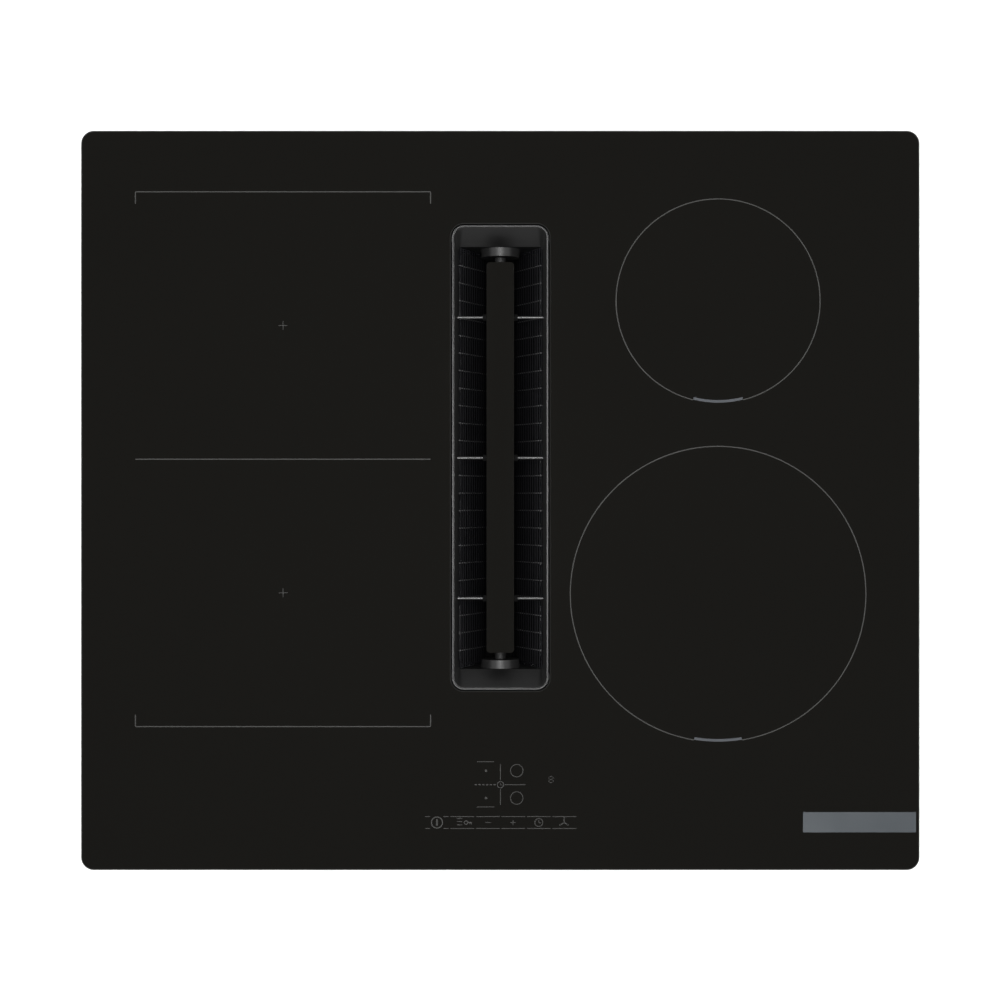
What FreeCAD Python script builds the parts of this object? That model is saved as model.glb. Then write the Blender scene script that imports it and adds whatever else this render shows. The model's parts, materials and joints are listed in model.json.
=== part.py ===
import FreeCAD, Part
import math
import os
import Sketcher

# Induction cooktop with a built-in downdraft extractor, in millimetres.
# +X is right, +Y is the back edge, +Z is up; the origin is under the middle of the glass,
# on the plane that the blower module stands on.

DRIVING = {
    # glass plate and the slot through it
    "overall_height": 223,
    "glass_width": 592,
    "glass_depth": 522,
    "glass_thickness": 4,
    "glass_corner": 9,
    "glass_bevel": 0.8,
    "slot_width": 70,
    "slot_length": 330,
    "slot_corner": 9.5,
    "slot_centre": 30.3,
    "slot_bevel": 0.4,
    # foam seal under the rim and bond line to the tray
    "seal_inset": 1,
    "seal_width": 9,
    "seal_thickness": 3,
    "bond_thickness": 0.5,
    # base tray of folded sheet
    "tray_width": 554,
    "tray_depth": 484,
    "tray_height": 55.5,
    "tray_corner": 12,
    "tray_sheet": 1,
    "tray_flange": 7,
    "tray_clearance": 0.6,
    "vent_width": 4,
    "vent_length": 52,
    "vent_pitch": 10,
    # shaft between slot and blower module
    "throat_wall": 2.5,
    "throat_flange": 6,
    "throat_dip": 5,
    "ledge_gap": 0.9,
    "ledge_height": 6,
    "seat_gap": 0.3,
    # lift-out inlet frame
    "frame_gap": 0.9,
    "frame_corner": 8.5,
    "frame_rim": 1.6,
    "funnel_corner": 7,
    "side_run": 2.1,
    "ramp_run": 11.9,
    "ramp_depth": 14,
    "skirt_wall": 2.5,
    "skirt_depth": 51,
    "trim_width": 1.5,
    "trim_height": 1.5,
    "boss_axis_depth": 29,
    "boss_reach": 6.1,
    "boss_face_radius": 13.6,
    "boss_root_radius": 14.8,
    "boss_root_depth": 2,
    "boss_flare": 28,
    # centre bar, necks and cross rods
    "bar_width": 19.4,
    "neck_show": 6.65,
    "bar_corner": 2.5,
    "spine_width": 15,
    "spine_foot_width": 9,
    "spine_depth": 34,
    "spine_inset": 1.2,
    "neck_radius": 4.05,
    "neck_grip": 5,
    "fit_gap": 0.1,
    "rod_radius": 0.9,
    "rod_depth": 12,
    "rod_spacing": 100,
    "collar_radius": 2.4,
    "collar_length": 5,
    # slotted filter panels, grease mesh and drip channel
    "panel_sheet": 1,
    "panel_foot_offset": 8,
    "panel_foot_depth": 60,
    "panel_border": 3,
    "panel_lines": 7,
    "panel_bays": 12,
    "panel_rib": 2.2,
    "mesh_gap": 3,
    "mesh_thickness": 3,
    "mesh_drop": 16,
    "channel_width": 22,
    "channel_depth": 6,
    "channel_sheet": 0.8,
    # plenum under the throat
    "module_wall": 2.5,
    "module_gap": 0.5,
    "plenum_width": 90,
    "plenum_corner": 12,
    "plenum_floor": 42,
    "plenum_ledge": 7.5,
    "foot_arch_width": 60,
    "foot_arch_height": 26,
    # overflow container
    "container_gap": 1.2,
    "container_length": 260,
    "container_height": 36,
    "container_wall": 2,
    "container_rim": 6,
    "container_corner": 10,
    "container_seal": 2.5,
    "clip_width": 24,
    "clip_sheet": 1.2,
    "clip_grip": 14,
    # scroll housing
    "fan_centre_x": 150,
    "fan_centre_y": 10,
    "scroll_radius": 118,
    "scroll_step": 11,
    "tongue_angle": 60,
    "tongue_root": 12,
    "flare_end": 222.5,
    "flare_turn": 190,
    "flare_left": 51,
    "lid_thickness": 3,
    "lug_radius": 4.5,
    "nozzle_radius": 57,
    "nozzle_mouth": 12,
    "nozzle_sheet": 1.6,
    "nozzle_dip": 2,
    "transfer_width": 156,
    "transfer_reach": 84,
    "transfer_share": 0.28125,
    "tray_gap": 3,
    # outlet
    "outlet_width": 222,
    "outlet_margin": 11.5,
    "outlet_wall": 2,
    "outlet_reach": 27,
    "outlet_lift": 3.5,
    "outlet_flange": 2,
    "outlet_flange_thickness": 3,
    # box with the blower's electronics
    "driver_centre_x": 165,
    "driver_centre_y": 165,
    "driver_width": 110,
    "driver_depth": 70,
    "driver_room": 15,
    "driver_rib": 10,
    # blower wheel and its motor
    "wheel_radius": 82,
    "wheel_floor": 20,
    "wheel_room": 22,
    "wheel_sheet": 2.5,
    "wheel_eye_radius": 59,
    "wheel_lip": 8,
    "blade_count": 11,
    "blade_inner_radius": 46,
    "blade_outer_radius": 80,
    "blade_sweep": 42,
    "blade_curve": 70,
    "blade_thickness": 2.2,
    "rotor_radius": 36,
    "rotor_wall": 4,
    "rotor_height": 38,
    "rotor_gap": 1.2,
    "stator_radius": 30,
    "stator_height": 34,
    "stator_plate": 3,
    "stator_plate_radius": 42,
    "motor_mount_height": 4,
    "shaft_radius": 4,
    "shaft_length": 56,
    "bearing_radius": 9,
    "bearing_height": 7,
    # coil stack under the glass
    "mica_gap": 0.3,
    "mica_thickness": 0.5,
    "coil_thickness": 6.7,
    "former_thickness": 2.5,
    "ferrite_height": 5,
    "ferrite_width": 14,
    "carrier_sheet": 1.2,
    "zone_left_x": 153.4,
    "zone_right_x": 153.6,
    "zone_left_width": 209,
    "zone_left_depth": 189,
    "zone_rear_y": 123.8,
    "zone_front_y": 65.3,
    "zone_small_y": 141.4,
    "zone_small_diameter": 145,
    "zone_large_diameter": 210,
    "coil_inset": 5,
    "coil_eye": 26,
    "coil_corner": 60,
    "sensor_radius": 6,
    "carrier_gap": 4,
    "carrier_front": 172,
    "carrier_back": 233,
    "carrier_corner": 8,
    "spring_width": 12,
    "spring_sheet": 0.8,
    "spring_foot": 14,
    "spring_reach": 26,
    # power electronics
    "board_width": 205,
    "board_depth": 290,
    "board_thickness": 1.6,
    "board_rise": 6,
    "board_back": 140,
    "board_offset": 62,
    "standoff_radius": 3.5,
    "sink_width": 58,
    "sink_length": 150,
    "sink_height": 22,
    "sink_base": 4,
    "sink_fin": 1.6,
    "sink_fins": 9,
    "cap_width": 32,
    "cap_depth": 18,
    "cap_height": 25,
    "choke_radius": 15,
    "choke_bore": 7,
    "choke_height": 14,
    "relay_width": 29,
    "relay_depth": 13,
    "relay_height": 20,
    # cooling fans
    "fan_frame": 80,
    "fan_frame_height": 25,
    "fan_bore_radius": 37.5,
    "fan_offset_x": 232,
    "fan_offset_y": 196,
    "fan_hub_radius": 15,
    "fan_blade_radius": 36.3,
    "fan_blade_sheet": 1.4,
    "fan_blade_chord": 14,
    "fan_blades": 7,
    "fan_arm_width": 5,
    "fan_arm_height": 2.5,
    # touch control
    "control_width": 124,
    "control_depth": 58,
    "control_front": 234.5,
    "control_drop": 5.4,
    "control_wall": 3,
    "pad_radius": 3,
    "pad_pitch": 17.7,
    "key_row": 227.3,
    "display_width": 40,
    "display_depth": 22,
    "display_height": 4,
    "display_corner": 1,
    # mains entry and fixings
    "terminal_width": 62,
    "terminal_depth": 20,
    "terminal_height": 22,
    "terminal_offset": 100,
    "gland_rise": 17,
    "gland_radius": 12,
    "gland_thread_radius": 9,
    "gland_bore_radius": 5.5,
    "gland_reach": 12,
    "gland_nut": 4,
    "worktop_clip_width": 22,
    "worktop_clip_sheet": 1.2,
    "worktop_clip_reach": 6,
    "worktop_clip_height": 36,
    "worktop_clip_drop": 9,
    "clip_front": 170,
    "clip_back": 120,
    "screw_radius": 2,
    "screw_head_radius": 3.4,
    "screw_head_height": 2.2,
    "screw_length": 9,
    "hanger_width": 22,
    "hanger_sheet": 2,
    "hanger_foot": 16,
    "overrun": 1,
}

doc = FreeCAD.newDocument("venting_cooktop")
sheet = doc.addObject("Spreadsheet::Sheet", "sizes")
pieces = []


def fill_sheet():
    """Write every driving size into the sheet, each under its own alias."""
    for row, (name, value) in enumerate(DRIVING.items(), start=1):
        sheet.set(f"A{row}", name)
        sheet.set(f"B{row}", str(value))
        sheet.setAlias(f"B{row}", name)
    doc.recompute()


class Size:
    """A value worked out from the sheet, kept beside the formula that gives it."""

    def __init__(self, value, text):
        self.value = float(value)
        self.text = text

    def combine(self, sign, other, result):
        return Size(result, f"({self.text} {sign} {as_size(other).text})")

    def __add__(self, other):
        return self.combine("+", other, self.value + as_size(other).value)

    def __sub__(self, other):
        return self.combine("-", other, self.value - as_size(other).value)

    def __mul__(self, other):
        return self.combine("*", other, self.value * as_size(other).value)

    def __truediv__(self, other):
        return self.combine("/", other, self.value / as_size(other).value)

    def __rmul__(self, other):
        return as_size(other) * self

    def __radd__(self, other):
        return as_size(other) + self

    def __rsub__(self, other):
        return as_size(other) - self

    def __neg__(self):
        return Size(-self.value, f"(0 - {self.text})")


def as_size(number):
    """Take a plain number as a size, and leave a size as it is."""
    return number if isinstance(number, Size) else Size(number, f"({number})")


class Sheet:
    """The driving sizes by name, as formulas on the sheet."""

    def __getattr__(self, name):
        return Size(DRIVING[name], f"sizes.{name}")


def root(size):
    return Size(math.sqrt(size.value), f"sqrt({size.text})")


def cosine(angle):
    return Size(math.cos(math.radians(angle.value)), f"cos({angle.text})")


def sine(angle):
    return Size(math.sin(math.radians(angle.value)), f"sin({angle.text})")


def slope(rise, run):
    angle = math.degrees(math.atan2(rise.value, run.value))
    return Size(angle, f"atan2({rise.text}; {run.text})")


fill_sheet()
S = Sheet()
ZERO = Size(0, "0")


def bind(item, prop, size):
    """Bind a property to its formula."""
    item.setExpression(prop, as_size(size).text)


def place(item, x=ZERO, y=ZERO, z=ZERO, axis=None, angle=None):
    """Put an object at a place on the sheet's sizes, turned about an axis if one is given."""
    if axis:
        item.Placement = FreeCAD.Placement(FreeCAD.Vector(), FreeCAD.Rotation(axis, angle.value))
        bind(item, "Placement.Rotation.Angle", angle)
    for name, size in (("x", x), ("y", y), ("z", z)):
        bind(item, f"Placement.Base.{name}", size)


X_AXIS = FreeCAD.Vector(1, 0, 0)
Y_AXIS = FreeCAD.Vector(0, 1, 0)
Z_AXIS = FreeCAD.Vector(0, 0, 1)
QUARTER = Size(90, "90")


def keep(item, label):
    """Name a finished piece and put it on the list that is written out."""
    item.Label = label
    pieces.append(item)
    return item


def new_body(label):
    """Start a body that is a piece by itself."""
    return keep(loose_body(label), label)


def loose_body(name):
    """Start a body that goes into a group."""
    return doc.addObject("PartDesign::Body", name)


def sketch_on(body, name, plane="XY_Plane", offset=ZERO):
    """Start a sketch on one of the body's own origin planes, moved along its normal."""
    sketch = body.newObject("Sketcher::SketchObject", name)
    base = next(item for item in body.Origin.OriginFeatures if item.Role == plane)
    sketch.AttachmentSupport = [(base, "")]
    sketch.MapMode = "FlatFace"
    bind(sketch, "AttachmentOffset.Base.z", offset)
    return sketch


def pin_point(sketch, edge, end, x, y):
    """Fix one end of an edge at a bound place."""
    for kind, size in (("DistanceX", x), ("DistanceY", y)):
        index = sketch.addConstraint(Sketcher.Constraint(kind, -1, 1, edge, end, size.value))
        sketch.setExpression(f"Constraints[{index}]", size.text)


def arc_between(start, end, radius, turn):
    """Give the smaller arc from start to end, turning left for 1 and right for -1."""
    chord = end - start
    middle = (start + end) * 0.5
    side = FreeCAD.Vector(-chord.y, chord.x, 0).normalize() * turn
    reach = math.sqrt(max(radius * radius - chord.Length * chord.Length / 4, 0))
    centre = middle + side * reach
    crown = centre - side * radius
    return Part.Arc(start, crown, end)


def draw_outline(sketch, points):
    """Draw a closed outline. A point is (x, y), or (x, y, radius, turn) where an arc leaves it."""
    ends = [(as_size(point[0]), as_size(point[1])) for point in points]
    spots = [FreeCAD.Vector(x.value, y.value, 0) for x, y in ends]
    edges = []
    for index, point in enumerate(points):
        start = spots[index]
        end = spots[(index + 1) % len(points)]
        if len(point) == 2:
            edges.append((sketch.addGeometry(Part.LineSegment(start, end)), 1, 2))
        else:
            turn = point[3]
            edge = sketch.addGeometry(arc_between(start, end, point[2].value, turn))
            edges.append((edge, 1, 2) if turn > 0 else (edge, 2, 1))
    for index, (edge, _, tail) in enumerate(edges):
        follower, head, _ = edges[(index + 1) % len(edges)]
        sketch.addConstraint(Sketcher.Constraint("Coincident", edge, tail, follower, head))
    for index, (edge, head, _) in enumerate(edges):
        pin_point(sketch, edge, head, *ends[index])
        if len(points[index]) == 4:
            radius = points[index][2]
            number = sketch.addConstraint(Sketcher.Constraint("Radius", edge, radius.value))
            sketch.setExpression(f"Constraints[{number}]", radius.text)


def draw_rectangle(sketch, width, depth, x=ZERO, y=ZERO):
    """Draw a rectangle about its middle."""
    left = x - width / 2
    right = x + width / 2
    front = y - depth / 2
    back = y + depth / 2
    draw_outline(sketch, [(left, front), (right, front), (right, back), (left, back)])


def draw_rounded(sketch, width, depth, corner, x=ZERO, y=ZERO):
    """Draw a rectangle with round corners about its middle."""
    left = x - width / 2
    right = x + width / 2
    front = y - depth / 2
    back = y + depth / 2
    draw_outline(sketch, [
        (left + corner, front), (right - corner, front, corner, 1),
        (right, front + corner), (right, back - corner, corner, 1),
        (right - corner, back), (left + corner, back, corner, 1),
        (left, back - corner), (left, front + corner, corner, 1)])


def draw_circle(sketch, radius, x=ZERO, y=ZERO):
    """Draw a circle on a bound centre."""
    circle = Part.Circle(FreeCAD.Vector(x.value, y.value, 0), FreeCAD.Vector(0, 0, 1), radius.value)
    edge = sketch.addGeometry(circle)
    pin_point(sketch, edge, 3, x, y)
    index = sketch.addConstraint(Sketcher.Constraint("Radius", edge, radius.value))
    sketch.setExpression(f"Constraints[{index}]", radius.text)


def pad(body, sketch, length, reverse=False):
    """Raise a sketch into the body, along the sketch's normal or against it."""
    feature = body.newObject("PartDesign::Pad", f"{sketch.Name}_pad")
    feature.Profile = sketch
    feature.Reversed = reverse
    bind(feature, "Length", length)
    doc.recompute()
    return feature


def pocket(body, sketch, length, reverse=False):
    """Cut a sketch out of the body, down from it, and check that it took something away."""
    before = body.Shape.Volume
    feature = body.newObject("PartDesign::Pocket", f"{sketch.Name}_pocket")
    feature.Profile = sketch
    feature.Reversed = reverse
    bind(feature, "Length", length)
    doc.recompute()
    if not body.Shape.Volume < before:
        raise RuntimeError(f"{sketch.Name} cuts nothing")
    return feature


def revolve(body, sketch, axis="V_Axis"):
    """Turn a sketch full circle about one of its own axes."""
    feature = body.newObject("PartDesign::Revolution", f"{sketch.Name}_turn")
    feature.Profile = sketch
    feature.ReferenceAxis = (sketch, [axis])
    doc.recompute()
    return feature


def box(name, x, y, z, width, depth, height):
    """Make a plain block from its lowest corner."""
    block = doc.addObject("Part::Box", name)
    bind(block, "Length", width)
    bind(block, "Width", depth)
    bind(block, "Height", height)
    place(block, as_size(x), as_size(y), as_size(z))
    return block


def cylinder(name, x, y, z, radius, height, axis=None):
    """Make a cylinder that rises from a point, or runs along Y or X if an axis is given."""
    bar = doc.addObject("Part::Cylinder", name)
    bind(bar, "Radius", radius)
    bind(bar, "Height", height)
    place(bar, as_size(x), as_size(y), as_size(z), axis, QUARTER if axis else None)
    return bar


def cut(name, base, tool):
    result = doc.addObject("Part::Cut", name)
    result.Base = base
    result.Tool = tool
    return result


def fuse(name, members):
    result = doc.addObject("Part::MultiFuse", name)
    result.Shapes = members
    return result


def group(label, members):
    """Keep separate solids together in one piece of the list."""
    result = doc.addObject("Part::Compound", label)
    result.Links = members
    return keep(result, label)


def plate(label, outline, bottom, thickness, hole=None):
    """Make a flat rounded plate, or a ring if a hole is given, on its own body."""
    body = new_body(label)
    add_ring(body, f"{label}_outline", outline, hole, bottom, thickness)
    return body


def add_ring(body, name, outline, hole, bottom, height):
    """Add a rounded ring, or a plate with no hole, to a body."""
    sketch = sketch_on(body, name, "XY_Plane", bottom)
    draw_rounded(sketch, *outline)
    if hole:
        draw_rounded(sketch, *hole)
    return pad(body, sketch, height)


def cut_circles(body, name, spots, radius, top, depth):
    """Cut round holes down from a level."""
    sketch = sketch_on(body, name, "XY_Plane", top)
    for x, y in spots:
        draw_circle(sketch, radius, x, y)
    return pocket(body, sketch, depth)


# levels that several pieces share
GLASS_TOP = S.overall_height
GLASS_UNDERSIDE = GLASS_TOP - S.glass_thickness
TRAY_TOP = GLASS_UNDERSIDE - S.bond_thickness
TRAY_BOTTOM = TRAY_TOP - S.tray_height
TRAY_FLOOR = TRAY_BOTTOM + S.tray_sheet
MODULE_TOP = TRAY_BOTTOM - S.module_gap
TRANSFER_TOP = TRAY_BOTTOM - S.tray_gap
TRANSFER_HEIGHT = TRANSFER_TOP * S.transfer_share
LID_TOP = TRANSFER_TOP - TRANSFER_HEIGHT
SCROLL_HEIGHT = LID_TOP - S.lid_thickness
DRIVER_HEIGHT = TRANSFER_HEIGHT - S.driver_room
BLADE_HEIGHT = SCROLL_HEIGHT - S.wheel_floor - S.wheel_room
OUTLET_HEIGHT = SCROLL_HEIGHT - 2 * S.outlet_margin
OUTLET_MIDDLE = SCROLL_HEIGHT / 2 + S.outlet_lift
SLOT_Y = S.slot_centre

# the throat's plan
THROAT_WIDTH = S.slot_width + 2 * S.throat_wall
THROAT_LENGTH = S.slot_length + 2 * S.throat_wall
THROAT_CORNER = S.slot_corner + S.throat_wall


# the filter unit's plan
FRAME_WIDTH = S.slot_width - 2 * S.frame_gap
FRAME_LENGTH = S.slot_length - 2 * S.frame_gap
FUNNEL_WIDTH = FRAME_WIDTH - 2 * S.frame_rim
FUNNEL_LENGTH = FRAME_LENGTH - 2 * S.frame_rim
BASKET_WIDTH = FUNNEL_WIDTH - 2 * S.side_run
BASKET_LENGTH = FUNNEL_LENGTH - 2 * S.ramp_run
SKIRT_WIDTH = BASKET_WIDTH + 2 * S.skirt_wall
SKIRT_LENGTH = BASKET_LENGTH + 2 * S.skirt_wall
BAR_LENGTH = BASKET_LENGTH - 2 * S.boss_reach - 2 * S.neck_show


def glass_plate():
    """Black glass ceramic with a bevelled rim and the slot for the filter unit."""
    body = new_body("glass_plate")
    sketch = sketch_on(body, "glass_outline", "XY_Plane", GLASS_UNDERSIDE)
    draw_rounded(sketch, S.glass_width, S.glass_depth, S.glass_corner)
    draw_rounded(sketch, S.slot_width, S.slot_length, S.slot_corner, ZERO, SLOT_Y)
    pad(body, sketch, S.glass_thickness)
    for name, size, outside in (("glass_rim", S.glass_bevel, True),
                                ("slot_rim", S.slot_bevel, False)):
        base = body.Tip
        rims = []
        for number, edge in enumerate(base.Shape.Edges, start=1):
            box_of = edge.BoundBox
            on_top = box_of.ZMin > (GLASS_TOP - S.slot_bevel).value
            reach = max(abs(box_of.XMax), abs(box_of.XMin))
            if on_top and (reach > S.slot_width.value) is outside:
                rims.append(f"Edge{number}")
        bevel = body.newObject("PartDesign::Chamfer", name)
        bevel.Base = (base, rims)
        bind(bevel, "Size", size)
        body.Tip = bevel
        doc.recompute()


def rim_seals():
    """Foam tape that seals the rim to the worktop, and the bond that holds glass to tray."""
    width = S.glass_width - 2 * S.seal_inset
    depth = S.glass_depth - 2 * S.seal_inset
    inner = (width - 2 * S.seal_width, depth - 2 * S.seal_width, S.glass_corner)
    bottom = GLASS_UNDERSIDE - S.seal_thickness
    plate("worktop_seal", (width, depth, S.glass_corner), bottom, S.seal_thickness, inner)
    lip = (S.tray_width - 2 * S.tray_flange, S.tray_depth - 2 * S.tray_flange, S.tray_corner / 2)
    around_tray = loose_body("tray_bond")
    add_ring(around_tray, "tray_bond_line", (S.tray_width, S.tray_depth, S.tray_corner), lip,
             TRAY_TOP, S.bond_thickness)
    mouth = (S.slot_width, S.slot_length, S.slot_corner, ZERO, SLOT_Y)
    flange = (THROAT_WIDTH + 2 * S.throat_flange, THROAT_LENGTH + 2 * S.throat_flange,
              THROAT_CORNER, ZERO, SLOT_Y)
    around_throat = loose_body("throat_bond")
    add_ring(around_throat, "throat_bond_line", flange, mouth, TRAY_TOP, S.bond_thickness)
    group("glass_bond", [around_tray, around_throat])


def base_tray():
    """Folded sheet tray that holds the coils and boards, open in the middle for the throat."""
    body = new_body("base_tray")
    inner = (S.tray_width - 2 * S.tray_sheet, S.tray_depth - 2 * S.tray_sheet,
             S.tray_corner - S.tray_sheet)
    outer = (S.tray_width, S.tray_depth, S.tray_corner)
    opening = (THROAT_WIDTH + 2 * S.tray_clearance, THROAT_LENGTH + 2 * S.tray_clearance,
               THROAT_CORNER, ZERO, SLOT_Y)
    lip = (S.tray_width - 2 * S.tray_flange, S.tray_depth - 2 * S.tray_flange, S.tray_corner / 2)
    add_ring(body, "tray_floor", outer, opening, TRAY_BOTTOM, S.tray_sheet)
    add_ring(body, "tray_walls", outer, inner, TRAY_BOTTOM, S.tray_height)
    add_ring(body, "tray_lip", outer, lip, TRAY_TOP - S.tray_sheet, S.tray_sheet)
    vents = sketch_on(body, "tray_vents", "XY_Plane", TRAY_FLOOR)
    for side in (-1, 1):
        for step in (-2, -1, 0, 1, 2):
            draw_rectangle(vents, S.vent_width, S.vent_length,
                           side * S.fan_offset_x + step * S.vent_pitch, S.fan_offset_y)
    pocket(body, vents, S.tray_sheet)
    cut_circles(body, "tray_holes", module_screw_spots() + hanger_screw_spots(),
                S.screw_radius + S.fit_gap, TRAY_FLOOR, S.tray_sheet)
    entry = sketch_on(body, "tray_entry", "XZ_Plane", -(S.tray_depth / 2))
    draw_circle(entry, S.gland_thread_radius + S.fit_gap, -S.terminal_offset,
                TRAY_BOTTOM + S.gland_rise)
    pocket(body, entry, S.tray_sheet, reverse=True)


def module_screw_spots():
    """Places of the screws that hang the plenum from the tray."""
    side = (THROAT_WIDTH / 2 + S.seat_gap + S.plenum_width / 2) / 2
    step = S.slot_length / 2 - S.slot_width
    return [(sign * side, SLOT_Y + shift) for sign in (-1, 1) for shift in (-step, ZERO, step)]


def hanger_screw_spots():
    """Places of the screws that hang the scroll from the tray."""
    x = S.fan_centre_x + S.transfer_reach + S.hanger_foot
    return [(x, S.fan_centre_y - S.hanger_width), (x, S.fan_offset_y - S.hanger_width)]


def duct_throat():
    """Shaft that the filter unit drops into, with a ledge at each end that carries it."""
    body = new_body("duct_throat")
    outer = (THROAT_WIDTH, THROAT_LENGTH, THROAT_CORNER, ZERO, SLOT_Y)
    inner = (S.slot_width, S.slot_length, S.slot_corner, ZERO, SLOT_Y)
    flange = (THROAT_WIDTH + 2 * S.throat_flange, THROAT_LENGTH + 2 * S.throat_flange,
              THROAT_CORNER, ZERO, SLOT_Y)
    bottom = TRAY_BOTTOM - S.throat_dip
    add_ring(body, "throat_walls", outer, inner, bottom, TRAY_TOP - bottom)
    add_ring(body, "throat_flange", flange, inner, TRAY_TOP - S.throat_wall, S.throat_wall)
    shoulder = GLASS_TOP - S.ramp_depth - S.seat_gap
    ledges = sketch_on(body, "throat_ledges", "XY_Plane", shoulder)
    for side in (-1, 1):
        reach = (S.slot_length - SKIRT_LENGTH) / 2 - S.ledge_gap + S.throat_wall / 2
        middle = SLOT_Y + side * (S.slot_length / 2 + S.throat_wall / 2 - reach / 2)
        draw_rectangle(ledges, S.slot_width + S.throat_wall, reach, ZERO, middle)
    pad(body, ledges, S.ledge_height, reverse=True)


FRAME_TOP = GLASS_TOP - S.trim_height
RAMP_FOOT = GLASS_TOP - S.ramp_depth
SKIRT_FOOT = RAMP_FOOT - S.skirt_depth
BOSS_Z = GLASS_TOP - S.boss_axis_depth
BAR_Z = GLASS_TOP - S.glass_thickness


def inlet_frame():
    """Moulded frame of the filter unit: funnel, end ramps, skirts and the two horn bosses."""
    body = new_body("inlet_frame")
    upper = (FRAME_WIDTH, FRAME_LENGTH, S.frame_corner, ZERO, SLOT_Y)
    add_ring(body, "frame_block", upper, None, RAMP_FOOT, FRAME_TOP - RAMP_FOOT)
    skirt = (SKIRT_WIDTH, SKIRT_LENGTH, S.skirt_wall, ZERO, SLOT_Y)
    add_ring(body, "frame_skirt", skirt, None, SKIRT_FOOT, S.skirt_depth)
    mouth = sketch_on(body, "funnel_mouth", "XY_Plane", FRAME_TOP)
    draw_rounded(mouth, FUNNEL_WIDTH, FUNNEL_LENGTH, S.funnel_corner, ZERO, SLOT_Y)
    neck = sketch_on(body, "funnel_neck", "XY_Plane", RAMP_FOOT)
    draw_rounded(neck, BASKET_WIDTH, BASKET_LENGTH, S.skirt_wall, ZERO, SLOT_Y)
    before = body.Shape.Volume
    funnel = body.newObject("PartDesign::SubtractiveLoft", "funnel")
    funnel.Profile = mouth
    funnel.Sections = [neck]
    doc.recompute()
    if not body.Shape.Volume < before:
        raise RuntimeError("the funnel cuts nothing")
    well = sketch_on(body, "basket_well", "XY_Plane", RAMP_FOOT)
    draw_rounded(well, BASKET_WIDTH, BASKET_LENGTH, S.skirt_wall, ZERO, SLOT_Y)
    pocket(body, well, S.skirt_depth)
    for side in (-1, 1):
        horn_boss(body, side)


def horn_boss(body, side):
    """Add one boss that flares into the end wall, and bore its socket."""
    name = "front" if side < 0 else "back"
    wall = SLOT_Y + side * (BASKET_LENGTH / 2 + S.boss_root_depth)
    face = SLOT_Y + side * (BASKET_LENGTH / 2 - S.boss_reach)
    socket = S.neck_radius + S.fit_gap
    profile = sketch_on(body, f"{name}_horn", "YZ_Plane")
    flare = (face, BOSS_Z + S.boss_face_radius, S.boss_flare, side)
    draw_outline(profile, [(wall, BOSS_Z + socket), (face, BOSS_Z + socket), flare,
                           (wall, BOSS_Z + S.boss_root_radius)])
    axis = profile.addGeometry(Part.LineSegment(FreeCAD.Vector(0, BOSS_Z.value, 0),
                                                FreeCAD.Vector(1, BOSS_Z.value, 0)), True)
    pin_point(profile, axis, 1, ZERO, BOSS_Z)
    pin_point(profile, axis, 2, S.overrun, BOSS_Z)
    revolve(body, profile, "Axis0")


def inlet_trim():
    """Thin steel ring let into the top of the frame, level with the glass."""
    plate("inlet_trim", (FRAME_WIDTH, FRAME_LENGTH, S.frame_corner, ZERO, SLOT_Y), FRAME_TOP,
          S.trim_height, (FRAME_WIDTH - 2 * S.trim_width, FRAME_LENGTH - 2 * S.trim_width,
                          S.frame_corner - S.trim_width, ZERO, SLOT_Y))


def centre_bar():
    """Keel between the bosses, its glass strip, the cross rods and their collars."""
    body = new_body("bar_spine")
    length = BAR_LENGTH - 2 * S.spine_inset
    keel = sketch_on(body, "keel", "XZ_Plane", -(SLOT_Y + length / 2))
    foot = GLASS_TOP - S.spine_depth
    draw_outline(keel, [(-(S.spine_foot_width / 2), foot), (S.spine_foot_width / 2, foot),
                        (S.spine_width / 2, GLASS_TOP - S.rod_depth - S.collar_radius),
                        (S.spine_width / 2, BAR_Z), (-(S.spine_width / 2), BAR_Z),
                        (-(S.spine_width / 2), GLASS_TOP - S.rod_depth - S.collar_radius)])
    pad(body, keel, length)
    necks = sketch_on(body, "necks", "XZ_Plane", -SLOT_Y)
    draw_circle(necks, S.neck_radius, ZERO, BOSS_Z)
    neck = pad(body, necks, BASKET_LENGTH - 2 * S.boss_reach + 2 * S.neck_grip)
    neck.SideType = "Symmetric"
    for shift in (-S.rod_spacing, ZERO, S.rod_spacing):
        bore = sketch_on(body, "rod_bore", "YZ_Plane", S.spine_width)
        draw_circle(bore, S.rod_radius, SLOT_Y + shift, GLASS_TOP - S.rod_depth)
        pocket(body, bore, 2 * S.spine_width)
    plate("bar_glass", (S.bar_width, BAR_LENGTH, S.bar_corner, ZERO, SLOT_Y), BAR_Z,
          S.glass_thickness)
    rods = []
    collars = []
    for shift in (-S.rod_spacing, ZERO, S.rod_spacing):
        y = SLOT_Y + shift
        z = GLASS_TOP - S.rod_depth
        reach = BASKET_WIDTH / 2
        rods.append(cylinder("rod", -reach, y, z, S.rod_radius, 2 * reach, Y_AXIS))
        for start in (-(S.spine_width / 2) - S.collar_length, S.spine_width / 2):
            ring = cylinder("collar_body", start, y, z, S.collar_radius, S.collar_length, Y_AXIS)
            bore = cylinder("collar_bore", start, y, z, S.rod_radius, S.collar_length, Y_AXIS)
            collars.append(cut("collar", ring, bore))
    group("cross_rods", rods)
    group("rod_collars", collars)


PANEL_RUN = BASKET_WIDTH / 2 - S.panel_foot_offset
PANEL_RISE = S.panel_foot_depth - S.ramp_depth
PANEL_SLOPE = root(PANEL_RUN * PANEL_RUN + PANEL_RISE * PANEL_RISE)


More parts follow.
